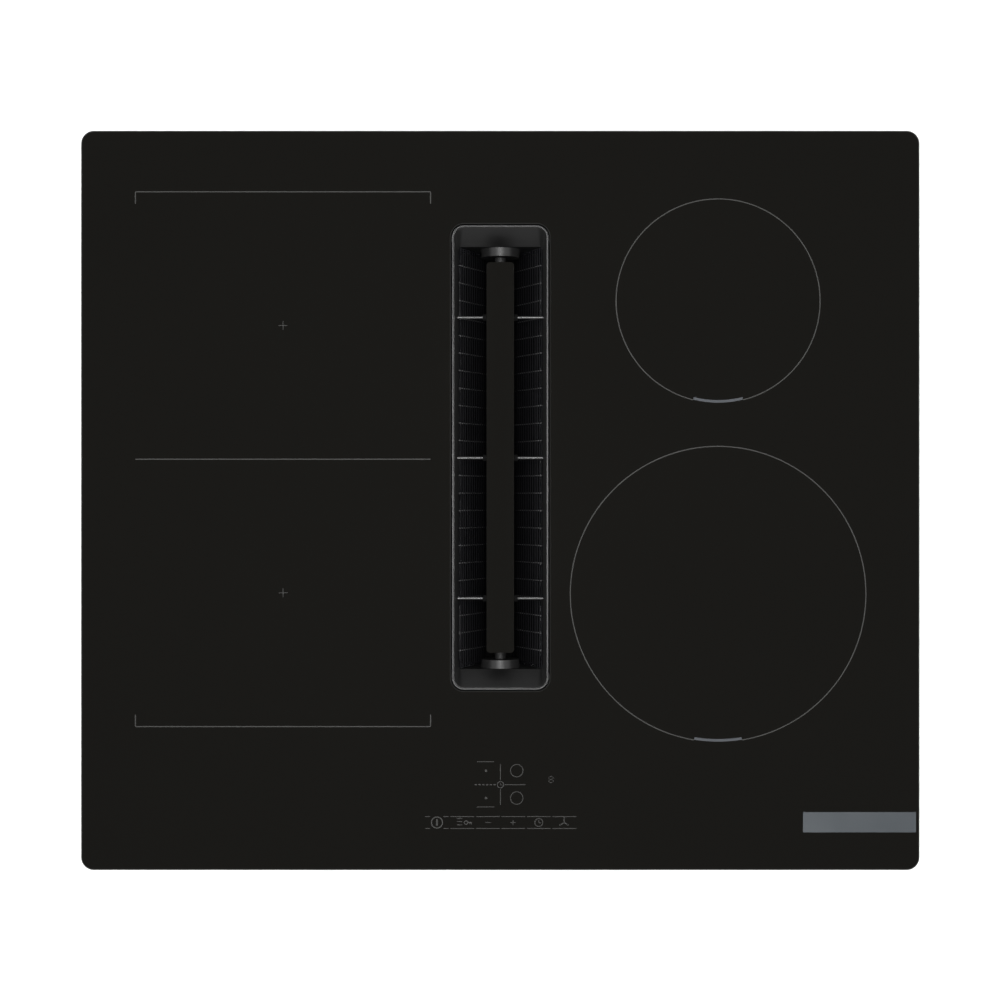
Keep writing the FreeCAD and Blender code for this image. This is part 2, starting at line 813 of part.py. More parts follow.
def filter_panels():
    """Two slotted sheets that lean into a V, with long bars between rows of slots."""
    for side, name in ((-1, "left"), (1, "right")):
        body = new_body(f"filter_panel_{name}")
        sketch = sketch_on(body, f"{name}_panel_face")
        length = BASKET_LENGTH - 2 * S.skirt_wall
        width = PANEL_SLOPE - S.panel_sheet - 2 * S.fit_gap
        draw_rectangle(sketch, width, length, width / 2, ZERO)
        pad(body, sketch, S.panel_sheet, reverse=side < 0)
        line = (width - 2 * S.panel_border + S.panel_rib) / S.panel_lines
        bay = (length - 2 * S.panel_border + S.panel_rib) / S.panel_bays
        face = S.panel_sheet if side > 0 else ZERO
        slot = sketch_on(body, f"{name}_panel_slot", "XY_Plane", face)
        first_x = S.panel_border + (line - S.panel_rib) / 2
        first_y = -(length / 2) + S.panel_border + (bay - S.panel_rib) / 2
        draw_rectangle(slot, line - S.panel_rib, bay - S.panel_rib, first_x, first_y)
        first = pocket(body, slot, S.panel_sheet)
        rows = body.newObject("PartDesign::LinearPattern", f"{name}_panel_rows")
        rows.Originals = [first]
        rows.Direction = (slot, ["H_Axis"])
        rows.Direction2 = (slot, ["V_Axis"])
        bind(rows, "Length", line * (S.panel_lines - 1))
        bind(rows, "Occurrences", S.panel_lines)
        bind(rows, "Length2", bay * (S.panel_bays - 1))
        bind(rows, "Occurrences2", S.panel_bays)
        body.Tip = rows
        doc.recompute()
        place(body, side * S.panel_foot_offset, SLOT_Y, GLASS_TOP - S.panel_foot_depth,
              -Y_AXIS, slope(PANEL_RISE, side * PANEL_RUN))


def grease_mesh():
    """Packs of fine mesh behind the panels, and the channel that catches what drips."""
    packs = []
    for side, name in ((-1, "left"), (1, "right")):
        body = loose_body(f"grease_mesh_{name}")
        sketch = sketch_on(body, f"{name}_mesh_section", "XZ_Plane",
                           -(SLOT_Y + BASKET_LENGTH / 2 - S.skirt_wall))
        lean = PANEL_RUN / PANEL_RISE
        foot = GLASS_TOP - S.panel_foot_depth
        high = RAMP_FOOT - S.mesh_drop
        base_x = S.panel_foot_offset + S.mesh_gap
        high_x = base_x + (high - foot) * lean
        points = [(side * base_x, foot), (side * (base_x + S.mesh_thickness), foot),
                  (side * (high_x + S.mesh_thickness), high), (side * high_x, high)]
        draw_outline(sketch, points if side > 0 else points[::-1])
        pad(body, sketch, BASKET_LENGTH - 2 * S.skirt_wall)
        packs.append(body)
    group("grease_mesh", packs)
    body = new_body("drip_channel")
    length = BASKET_LENGTH - 2 * S.fit_gap
    section = sketch_on(body, "channel_section", "XZ_Plane", -(SLOT_Y + length / 2))
    half = S.channel_width / 2
    wall = S.channel_sheet
    foot = GLASS_TOP - S.panel_foot_depth - S.channel_depth
    rim = foot + S.channel_depth - S.fit_gap
    draw_outline(section, [(-half, foot), (half, foot), (half, rim), (half - wall, rim),
                           (half - wall, foot + wall), (wall - half, foot + wall),
                           (wall - half, rim), (-half, rim)])
    pad(body, section, length)


# the blower module's plan and levels
PLENUM_LENGTH = THROAT_LENGTH + S.plenum_width - THROAT_WIDTH
PLENUM_INNER = (S.plenum_width - 2 * S.module_wall, PLENUM_LENGTH - 2 * S.module_wall,
                S.plenum_corner - S.module_wall, ZERO, SLOT_Y)
PLENUM_OUTER = (S.plenum_width, PLENUM_LENGTH, S.plenum_corner, ZERO, SLOT_Y)
FLOOR_HOLE = (S.plenum_width - 2 * S.module_wall - 2 * S.plenum_ledge,
              S.container_length - 2 * S.plenum_ledge - 2 * S.container_rim, S.plenum_corner / 2,
              ZERO, SLOT_Y)


def plenum_housing():
    """Tall housing under the throat. Its skirt is the module's foot and hides the container."""
    body = new_body("plenum_housing")
    socket = (THROAT_WIDTH + 2 * S.seat_gap, THROAT_LENGTH + 2 * S.seat_gap, THROAT_CORNER,
              ZERO, SLOT_Y)
    add_ring(body, "plenum_walls", PLENUM_OUTER, PLENUM_INNER, ZERO, MODULE_TOP)
    add_ring(body, "plenum_roof", PLENUM_OUTER, socket, MODULE_TOP - S.module_wall, S.module_wall)
    add_ring(body, "plenum_floor", PLENUM_OUTER, FLOOR_HOLE, S.plenum_floor, S.module_wall)
    window = sketch_on(body, "plenum_window", "YZ_Plane", S.plenum_width / 2 + S.overrun)
    height = TRANSFER_HEIGHT - S.module_wall
    draw_rectangle(window, S.transfer_width - 2 * S.module_wall, height, S.fan_centre_y,
                   LID_TOP + height / 2)
    pocket(body, window, S.module_wall + 2 * S.overrun)
    arches = sketch_on(body, "foot_arches", "XZ_Plane", -(SLOT_Y + PLENUM_LENGTH))
    draw_rectangle(arches, S.foot_arch_width, 2 * S.foot_arch_height)
    pocket(body, arches, 2 * PLENUM_LENGTH, reverse=True)
    cut_circles(body, "plenum_screw_holes", module_screw_spots(), S.screw_radius,
                MODULE_TOP, S.screw_length)


CONTAINER_WIDTH = S.plenum_width - 2 * S.module_wall - 2 * S.container_gap
CONTAINER_TOP = S.plenum_floor - S.container_seal


def overflow_container():
    """Tub that catches spills, hung under the plenum floor on two clips and a seal ring."""
    body = new_body("overflow_container")
    tub = (CONTAINER_WIDTH - 2 * S.container_rim, S.container_length - 2 * S.container_rim,
           S.container_corner, ZERO, SLOT_Y)
    well = (CONTAINER_WIDTH - 2 * S.container_rim - 2 * S.container_wall,
            S.container_length - 2 * S.container_rim - 2 * S.container_wall,
            S.container_corner - S.container_wall, ZERO, SLOT_Y)
    rim = (CONTAINER_WIDTH, S.container_length, S.container_corner, ZERO, SLOT_Y)
    bottom = CONTAINER_TOP - S.container_height
    add_ring(body, "tub_block", tub, None, bottom, S.container_height)
    add_ring(body, "tub_rim", rim, None, CONTAINER_TOP - S.container_wall, S.container_wall)
    sketch = sketch_on(body, "tub_well", "XY_Plane", CONTAINER_TOP)
    draw_rounded(sketch, *well)
    pocket(body, sketch, S.container_height - S.container_wall)
    plate("container_seal", rim, CONTAINER_TOP, S.container_seal, well)


def container_clips():
    """Two spring leaves that hang from the plenum floor and grip the ends of the rim."""
    clips = []
    for side, name in ((-1, "front"), (1, "back")):
        body = loose_body(f"container_clip_{name}")
        sketch = sketch_on(body, f"{name}_clip_section", "YZ_Plane", -(S.clip_width / 2))
        wall = S.clip_sheet
        near = S.container_length / 2 + S.seat_gap
        top = S.plenum_floor
        far = PLENUM_INNER[1] / 2 - S.container_gap
        tip = CONTAINER_TOP - S.clip_grip
        shape = [(near, top), (near, tip), (near + wall, tip), (near + wall, top - wall),
                 (far, top - wall), (far, top)]
        points = [(SLOT_Y + side * y, z) for y, z in shape]
        draw_outline(sketch, points if side > 0 else points[::-1])
        pad(body, sketch, S.clip_width)
        clips.append(body)
    group("container_clips", clips)


# centres of the scroll's four quarter arcs, which step around the wheel's axis
HALF_STEP = S.scroll_step / 2
EAST = S.fan_centre_x + HALF_STEP
WEST = S.fan_centre_x - HALF_STEP
NORTH = S.fan_centre_y + HALF_STEP
SOUTH = S.fan_centre_y - HALF_STEP


def draw_scroll(sketch, grow):
    """Draw the scroll's outline, moved outwards by a wall, with its flare to the outlet."""
    first = S.scroll_radius + grow
    second = first - S.scroll_step
    third = second - S.scroll_step
    fourth = third - S.scroll_step
    right = EAST + first
    left = S.flare_left - grow
    back = S.flare_end + grow
    turn = S.flare_turn
    if grow.value:
        tongue = [(WEST, NORTH + S.tongue_root + third - S.scroll_step)]
    else:
        tongue = [(WEST + fourth * cosine(S.tongue_angle), NORTH + fourth * sine(S.tongue_angle))]
    points = [(right, back), (right, NORTH, first, -1), (EAST, NORTH - first, second, -1),
              (EAST - second, SOUTH, third, -1)]
    if grow.value:
        points.append((WEST, SOUTH + third))
    else:
        points.append((WEST, SOUTH + third, fourth, -1))
    draw_outline(sketch, points + tongue + [(left, turn), (left, back)])


def lug_spots():
    """Places of the lugs that the lid is screwed to."""
    reach = S.module_wall + S.lug_radius * 2 / 3
    diagonal = sine(Size(45, "45"))
    first = (S.scroll_radius + reach) * diagonal
    second = (S.scroll_radius - S.scroll_step + reach) * diagonal
    third = (S.scroll_radius - S.scroll_step * 2 + reach) * diagonal
    inset = S.lug_radius * 4 / 3
    right = EAST + S.scroll_radius - inset
    return [(EAST + first, NORTH - first), (EAST - second, SOUTH - second),
            (WEST - third, SOUTH + third), (right, S.flare_end - inset),
            (S.flare_left + inset, S.flare_end - inset)]


def scroll_housing():
    """Spiral tub around the blower wheel that opens into a flat outlet, and its lid."""
    wall = S.module_wall
    tub = new_body("scroll_tub")
    floor = sketch_on(tub, "scroll_floor")
    draw_scroll(floor, wall)
    pad(tub, floor, wall)
    walls = sketch_on(tub, "scroll_walls")
    draw_scroll(walls, wall)
    pad(tub, walls, SCROLL_HEIGHT)
    well = sketch_on(tub, "scroll_well", "XY_Plane", SCROLL_HEIGHT)
    draw_scroll(well, ZERO)
    pocket(tub, well, SCROLL_HEIGHT - wall)
    lugs = sketch_on(tub, "scroll_lugs")
    for x, y in lug_spots():
        draw_circle(lugs, S.lug_radius, x, y)
    pad(tub, lugs, SCROLL_HEIGHT)
    cut_circles(tub, "scroll_lug_holes", lug_spots(), S.screw_radius, SCROLL_HEIGHT,
                S.screw_length)
    outlet = sketch_on(tub, "scroll_outlet", "XZ_Plane", -(S.flare_end + wall + S.overrun))
    draw_rectangle(outlet, S.outlet_width - 2 * S.outlet_wall,
                   OUTLET_HEIGHT - 2 * S.outlet_wall, outlet_middle(), OUTLET_MIDDLE)
    pocket(tub, outlet, wall + 2 * S.overrun, reverse=True)
    lid = new_body("scroll_lid")
    sheet_outline = sketch_on(lid, "lid_sheet", "XY_Plane", SCROLL_HEIGHT)
    draw_scroll(sheet_outline, wall)
    pad(lid, sheet_outline, S.lid_thickness)
    ears = sketch_on(lid, "lid_ears", "XY_Plane", SCROLL_HEIGHT)
    for x, y in lug_spots():
        draw_circle(ears, S.lug_radius, x, y)
    pad(lid, ears, S.lid_thickness)
    mouth = S.nozzle_radius + S.nozzle_mouth
    cut_circles(lid, "lid_mouth", [(S.fan_centre_x, S.fan_centre_y)], mouth, LID_TOP,
                S.lid_thickness)
    cut_circles(lid, "lid_screw_holes", lug_spots(), S.screw_radius + S.fit_gap, LID_TOP,
                S.lid_thickness)


def outlet_middle():
    """The outlet is centred in the flare."""
    return (S.flare_left + EAST + S.scroll_radius) / 2


def turned(body, name, points):
    """Turn an outline of (radius, height) points about the body's upright axis."""
    sketch = sketch_on(body, name, "XZ_Plane")
    draw_outline(sketch, points)
    return revolve(body, sketch)


def inlet_nozzle():
    """Bell-mouthed ring that leads air down into the eye of the wheel."""
    body = new_body("inlet_nozzle")
    inner = S.nozzle_radius
    mouth = S.nozzle_mouth
    wall = S.nozzle_sheet
    top = LID_TOP + wall
    lip = WHEEL_TOP - S.nozzle_dip
    turned(body, "nozzle_section", [
        (inner + mouth + S.lug_radius, LID_TOP), (inner + mouth + S.lug_radius, top),
        (inner + mouth, top, mouth, 1), (inner, top - mouth), (inner, lip), (inner + wall, lip),
        (inner + wall, top - mouth, mouth - wall, -1), (inner + mouth, LID_TOP)])
    place(body, S.fan_centre_x, S.fan_centre_y)


def transfer_duct():
    """Low box that carries air from the plenum window over to the nozzle."""
    body = new_body("transfer_duct")
    wall = S.module_wall
    left = S.plenum_width / 2
    right = S.fan_centre_x + S.transfer_reach
    middle = (left + right) / 2
    block = sketch_on(body, "duct_block", "XY_Plane", LID_TOP)
    draw_rectangle(block, right - left, S.transfer_width, middle, S.fan_centre_y)
    pad(body, block, TRANSFER_HEIGHT)
    hollow = sketch_on(body, "duct_hollow", "XY_Plane", LID_TOP)
    draw_rectangle(hollow, right - left, S.transfer_width - 2 * wall, middle - wall,
                   S.fan_centre_y)
    pocket(body, hollow, TRANSFER_HEIGHT - wall, reverse=True)


WHEEL_TOP = S.wheel_floor + BLADE_HEIGHT + S.wheel_sheet + S.wheel_lip


def blower_wheel():
    """Backward-curved wheel: dished back plate with the blades, and the ring welded on them."""
    body = loose_body("wheel_plate")
    ring = loose_body("wheel_ring")
    wall = S.wheel_sheet
    hub = S.rotor_radius + S.seat_gap
    hub_top = S.wheel_floor + S.rotor_height
    plate_top = S.wheel_floor + wall
    blade_top = S.wheel_floor + BLADE_HEIGHT
    eye = S.wheel_eye_radius
    turned(body, "wheel_dish", [
        (S.shaft_radius + S.fit_gap, hub_top), (hub, hub_top), (hub, S.wheel_floor),
        (S.wheel_radius, S.wheel_floor), (S.wheel_radius, plate_top), (hub + wall, plate_top),
        (hub + wall, hub_top + wall), (S.shaft_radius + S.fit_gap, hub_top + wall)])
    blade = sketch_on(body, "wheel_blade", "XY_Plane", S.wheel_floor + wall / 2)
    tip_x = S.blade_outer_radius * cosine(S.blade_sweep)
    tip_y = -(S.blade_outer_radius * sine(S.blade_sweep))
    draw_outline(blade, [(S.blade_inner_radius, ZERO, S.blade_curve, -1), (tip_x, tip_y),
                         (tip_x - S.blade_thickness, tip_y, S.blade_curve, 1),
                         (S.blade_inner_radius - S.blade_thickness, ZERO)])
    first = pad(body, blade, BLADE_HEIGHT - wall / 2)
    spread = body.newObject("PartDesign::PolarPattern", "wheel_blades")
    spread.Originals = [first]
    spread.Axis = (blade, ["N_Axis"])
    bind(spread, "Occurrences", S.blade_count)
    body.Tip = spread
    doc.recompute()
    turned(ring, "wheel_shroud", [
        (eye, blade_top), (S.wheel_radius, blade_top), (S.wheel_radius, blade_top + wall),
        (eye + wall * 2, blade_top + wall), (eye + wall, WHEEL_TOP), (eye, WHEEL_TOP)])
    for part in (body, ring):
        place(part, S.fan_centre_x, S.fan_centre_y)
    group("blower_wheel", [body, ring])


def blower_motor():
    """Outer-rotor motor under the dish: rubber ring, stator, bearings, shaft and rotor cup."""
    wall = S.module_wall
    mount_top = wall + S.motor_mount_height
    plate_top = mount_top + S.stator_plate
    stator_top = plate_top + S.stator_height
    bore = S.bearing_radius + S.fit_gap
    mount = new_body("motor_mount")
    turned(mount, "mount_section", [
        (S.stator_radius, wall), (S.stator_plate_radius, wall),
        (S.stator_plate_radius, mount_top), (S.stator_radius, mount_top)])
    stator = new_body("motor_stator")
    turned(stator, "stator_section", [
        (bore, mount_top), (S.stator_plate_radius, mount_top), (S.stator_plate_radius, plate_top),
        (S.stator_radius, plate_top), (S.stator_radius, stator_top), (bore, stator_top)])
    shaft = new_body("motor_shaft")
    turned(shaft, "shaft_section", [
        (ZERO, mount_top), (S.shaft_radius, mount_top), (S.shaft_radius, mount_top + S.shaft_length),
        (ZERO, mount_top + S.shaft_length)])
    rotor = new_body("motor_rotor")
    rotor_top = S.wheel_floor + S.rotor_height
    inner = S.rotor_radius - S.rotor_wall
    collar = S.shaft_radius + S.fit_gap
    turned(rotor, "rotor_section", [
        (inner, S.wheel_floor - S.rotor_wall), (S.rotor_radius, S.wheel_floor - S.rotor_wall),
        (S.rotor_radius, rotor_top), (collar, rotor_top), (collar, stator_top + S.rotor_gap),
        (inner, stator_top + S.rotor_gap)])
    for body in (mount, stator, shaft, rotor):
        place(body, S.fan_centre_x, S.fan_centre_y)
    bearings = []
    for bottom in (mount_top, stator_top - S.bearing_height):
        outer = cylinder("bearing_body", S.fan_centre_x, S.fan_centre_y, bottom,
                         S.bearing_radius, S.bearing_height)
        hole = cylinder("bearing_bore", S.fan_centre_x, S.fan_centre_y, bottom,
                        S.shaft_radius + S.fit_gap, S.bearing_height)
        bearings.append(cut("bearing", outer, hole))
    group("motor_bearings", bearings)


def outlet_collar():
    """Flat duct spigot on the back of the scroll, with its flange."""
    body = new_body("outlet_collar")
    back = S.flare_end + S.module_wall
    x = outlet_middle()
    z = OUTLET_MIDDLE
    bore = (S.outlet_width - 2 * S.outlet_wall, OUTLET_HEIGHT - 2 * S.outlet_wall)
    flange = sketch_on(body, "collar_flange", "XZ_Plane", -back)
    draw_rectangle(flange, S.outlet_width + 2 * S.outlet_flange,
                   OUTLET_HEIGHT + 2 * S.outlet_flange, x, z)
    draw_rectangle(flange, *bore, x, z)
    pad(body, flange, S.outlet_flange_thickness, reverse=True)
    spigot = sketch_on(body, "collar_spigot", "XZ_Plane", -back)
    draw_rectangle(spigot, S.outlet_width, OUTLET_HEIGHT, x, z)
    draw_rectangle(spigot, *bore, x, z)
    pad(body, spigot, S.outlet_flange_thickness + S.outlet_reach, reverse=True)


def driver_box():
    """Closed box on the lid that holds the blower's electronics, with cooling ribs."""
    body = new_body("driver_box")
    x = S.driver_centre_x
    y = S.driver_centre_y
    add_ring(body, "driver_body", (S.driver_width, S.driver_depth, S.module_wall, x, y), None,
             LID_TOP, DRIVER_HEIGHT)
    ribs = sketch_on(body, "driver_ribs", "XY_Plane", LID_TOP + DRIVER_HEIGHT)
    for step in (-3, -2, -1, 0, 1, 2, 3):
        draw_rectangle(ribs, S.module_wall, S.driver_depth - S.driver_rib * 2,
                       x + step * S.driver_rib, y)
    pad(body, ribs, S.driver_rib / 2)


def screw(name, x, y, z):
    """Make a pan head screw whose head sits on a level."""
    shank = cylinder(f"{name}_shank", x, y, z - S.screw_length, S.screw_radius - S.fit_gap,
                     S.screw_length)
    head = cylinder(f"{name}_head", x, y, z, S.screw_head_radius, S.screw_head_height)
    return fuse(name, [shank, head])


def module_fixings():
    """Screws of the lid, screws through the tray floor, and the angle brackets of the scroll."""
    group("lid_screws", [screw("lid_screw", x, y, LID_TOP) for x, y in lug_spots()])
    spots = module_screw_spots() + hanger_screw_spots()
    group("module_screws", [screw("module_screw", x, y, TRAY_FLOOR) for x, y in spots])
    hangers = []
    for x, y in hanger_screw_spots():
        body = loose_body("hanger")
        section = sketch_on(body, "hanger_section", "XZ_Plane", -(y + S.hanger_width / 2))
        wall = S.hanger_sheet
        near = x - S.hanger_foot / 2
        far = x + S.hanger_foot / 2
        draw_outline(section, [(near, LID_TOP), (far, LID_TOP), (far, TRAY_BOTTOM),
                               (near, TRAY_BOTTOM), (near, TRAY_BOTTOM - wall),
                               (far - wall, TRAY_BOTTOM - wall), (far - wall, LID_TOP + wall),
                               (near, LID_TOP + wall)])
        pad(body, section, S.hanger_width)
        cut_circles(body, "hanger_hole", [(x, y)], S.screw_radius, TRAY_BOTTOM, wall)
        hangers.append(body)
    group("hanger_brackets", hangers)


# the coil stack, worked down from the glass
MICA_TOP = GLASS_UNDERSIDE - S.mica_gap
COIL_TOP = MICA_TOP - S.mica_thickness
COIL_FOOT = COIL_TOP - S.coil_thickness
FORMER_FOOT = COIL_FOOT - S.former_thickness
CARRIER_TOP = FORMER_FOOT - S.ferrite_height
CARRIER_FOOT = CARRIER_TOP - S.carrier_sheet


class Zone:
    """One cooking zone: where its coil lies and how large it is."""

    def __init__(self, name, x, y, width, depth, corner):
        self.name = name
        self.x = x
        self.y = y
        self.width = width - 2 * S.coil_inset
        self.depth = depth - 2 * S.coil_inset
        self.corner = corner

    def draw(self, sketch):
        """Draw the coil's outline with the eye in its middle."""
        if self.corner:
            draw_rounded(sketch, self.width, self.depth, self.corner, self.x, self.y)
        else:
            draw_circle(sketch, self.width / 2, self.x, self.y)
        draw_circle(sketch, S.coil_eye, self.x, self.y)


def cooking_zones():
    """The two halves of the long left zone, and the small and large zones on the right."""
    left = -S.zone_left_x
    wide = S.zone_left_width
    deep = S.zone_left_depth
    small = S.zone_small_diameter
    large = S.zone_large_diameter
    return [Zone("left_rear", left, S.zone_rear_y, wide, deep, S.coil_corner),
            Zone("left_front", left, -S.zone_front_y, wide, deep, S.coil_corner),
            Zone("right_rear", S.zone_right_x, S.zone_small_y, small, small, None),
            Zone("right_front", S.zone_right_x, -S.zone_front_y, large, large, None)]


def ferrite_bars(zone):
    """Bars that lie like spokes under one coil."""
    bars = []
    start = S.coil_eye + S.fit_gap
    length = min(zone.width, zone.depth, key=lambda size: size.value) / 2 - start - S.coil_inset
    for turn in range(0, 360, 60):
        angle = Size(turn, str(turn))
        bar = box(f"ferrite_{zone.name}", ZERO, ZERO, ZERO, length, S.ferrite_width,
                  S.ferrite_height)
        half = S.ferrite_width / 2
        place(bar, zone.x + start * cosine(angle) + half * sine(angle),
              zone.y + start * sine(angle) - half * cosine(angle), CARRIER_TOP, Z_AXIS, angle)
        bars.append(bar)
    return bars


def coil_stack():
    """Coils on their formers, with ferrite bars below, mica above and a sensor in the eye."""
    ferrites = []
    sensors = []
    sheets = []
    formers = []
    for zone in cooking_zones():
        coil = new_body(f"coil_{zone.name}")
        former = loose_body(f"former_{zone.name}")
        mica = loose_body(f"mica_{zone.name}")
        for body, bottom, height in ((former, FORMER_FOOT, S.former_thickness),
                                     (coil, COIL_FOOT, S.coil_thickness),
                                     (mica, COIL_TOP, S.mica_thickness)):
            sketch = sketch_on(body, f"{body.Name}_outline", "XY_Plane", bottom)
            zone.draw(sketch)
            pad(body, sketch, height)
        formers.append(former)
        sheets.append(mica)
        ferrites += ferrite_bars(zone)
        sensors.append(cylinder(f"sensor_{zone.name}", zone.x, zone.y, CARRIER_TOP,
                                S.sensor_radius, MICA_TOP - CARRIER_TOP))
    group("coil_formers", formers)
    group("ferrite_bars", ferrites)
    group("temperature_sensors", sensors)
    group("mica_sheets", sheets)


def spring_spots():
    """Places of the leaf springs under the coil carriers: share along the carrier, and side."""
    spots = []
    inner = THROAT_WIDTH / 2 + S.carrier_gap
    outer = S.tray_width / 2 - S.tray_sheet - S.carrier_gap
    for side in (-1, 1):
        for share in SPRING_SHARES:
            x = inner + (outer - inner) * share - S.spring_reach / 2
            spots.append((side, x, -S.carrier_front + S.carrier_gap))
            spots.append((side, x, S.board_back + S.carrier_gap))
    return spots


SPRING_SHARES = (0.15, 0.45)


def coil_carriers():
    """Aluminium sheets that carry the coils, pressed up to the glass by leaf springs."""
    inner = THROAT_WIDTH / 2 + S.carrier_gap
    outer = S.tray_width / 2 - S.tray_sheet - S.carrier_gap
    depth = S.carrier_front + S.carrier_back
    middle = (S.carrier_back - S.carrier_front) / 2
    for side, name in ((-1, "left"), (1, "right")):
        plate(f"coil_carrier_{name}", (outer - inner, depth, S.carrier_corner,
                                       side * (inner + outer) / 2, middle),
              CARRIER_FOOT, S.carrier_sheet)
    springs = []
    for side, x, y in spring_spots():
        body = loose_body("carrier_spring")
        sketch = sketch_on(body, "spring_section", "XZ_Plane", -(y + S.spring_width))
        leaf = S.spring_sheet
        foot = S.spring_foot
        reach = S.spring_reach
        lean = leaf * 1.5
        shape = [(ZERO, TRAY_FLOOR), (foot, TRAY_FLOOR), (reach, CARRIER_FOOT - leaf),
                 (reach + foot, CARRIER_FOOT - leaf), (reach + foot, CARRIER_FOOT),
                 (reach - lean, CARRIER_FOOT), (foot - lean, TRAY_FLOOR + leaf),
                 (ZERO, TRAY_FLOOR + leaf)]
        points = [(side * (x + along), level) for along, level in shape]
        draw_outline(sketch, points if side > 0 else points[::-1])
        pad(body, sketch, S.spring_width)
        springs.append(body)
    group("carrier_springs", springs)


BOARD_FOOT = TRAY_FLOOR + S.board_rise
BOARD_TOP = BOARD_FOOT + S.board_thickness
CAP_PLACE_SHARES = ((0.12, 0.12), (0.12, 0.34), (0.12, 0.56), (0.12, 0.78))
CHOKE_PLACE_SHARES = ((0.44, 0.18), (0.44, 0.42))
RELAY_PLACE_SHARES = ((0.38, 0.66), (0.38, 0.8))
SINK_PLACE_SHARES = (0.64, 0.2)


def power_boards():
    """One power board each side, on standoffs, with capacitors, chokes, relays and a sink."""
    standoffs = []
    parts = []
    sinks = []
    for side, name in ((-1, "left"), (1, "right")):
        near = S.board_offset
        front = S.board_back - S.board_depth
        board = new_body(f"power_board_{name}")
        sketch = sketch_on(board, f"{name}_board_outline", "XY_Plane", BOARD_FOOT)
        draw_rectangle(sketch, S.board_width, S.board_depth, side * (near + S.board_width / 2),
                       S.board_back - S.board_depth / 2)
        pad(board, sketch, S.board_thickness)
        inset = S.standoff_radius * 2
        for x in (near + inset, near + S.board_width - inset):
            for y in (front + inset, S.board_back - inset):
                standoffs.append(cylinder("standoff", side * x, y, TRAY_FLOOR,
                                          S.standoff_radius, S.board_rise))
        for share_x, share_y in CAP_PLACE_SHARES:
            x = near + S.board_width * share_x
            left = x if side > 0 else -x - S.cap_width
            parts.append(box("capacitor", left, front + S.board_depth * share_y, BOARD_TOP,
                             S.cap_width, S.cap_depth, S.cap_height))
        for share_x, share_y in CHOKE_PLACE_SHARES:
            x = side * (near + S.board_width * share_x)
            y = front + S.board_depth * share_y
            ring = cylinder("choke_body", x, y, BOARD_TOP, S.choke_radius, S.choke_height)
            hole = cylinder("choke_bore", x, y, BOARD_TOP, S.choke_bore, S.choke_height)
            parts.append(cut("choke", ring, hole))
        for share_x, share_y in RELAY_PLACE_SHARES:
            x = near + S.board_width * share_x
            left = x if side > 0 else -x - S.relay_width
            parts.append(box("relay", left, front + S.board_depth * share_y, BOARD_TOP,
                             S.relay_width, S.relay_depth, S.relay_height))
        sinks.append(heat_sink(side, name, near, front))
    group("board_standoffs", standoffs)
    group("board_parts", parts)
    group("heat_sinks", sinks)


def heat_sink(side, name, near, front):
    """Finned aluminium block on the outer half of a power board."""
    body = loose_body(f"heat_sink_{name}")
    start = near + S.board_width * SINK_PLACE_SHARES[0]
    y = front + S.board_depth * SINK_PLACE_SHARES[1]
    sketch = sketch_on(body, f"{name}_sink_section", "XZ_Plane", -(y + S.sink_length))
    base = BOARD_TOP + S.sink_base
    top = BOARD_TOP + S.sink_height
    pitch = (S.sink_width - S.sink_fin) / (S.sink_fins - 1)
    shape = [(start, BOARD_TOP), (start + S.sink_width, BOARD_TOP)]
    for fin in reversed(range(DRIVING["sink_fins"])):
        left = start + pitch * fin
        fin_shape = [(left + S.sink_fin, base), (left + S.sink_fin, top), (left, top),
                     (left, base)]
        if fin == DRIVING["sink_fins"] - 1:
            fin_shape = fin_shape[1:]
        if fin == 0:
            fin_shape = fin_shape[:-1]
        shape += fin_shape
    points = [(side * x, z) for x, z in shape]
    draw_outline(sketch, points if side > 0 else points[::-1])
    pad(body, sketch, S.sink_length)
    return body


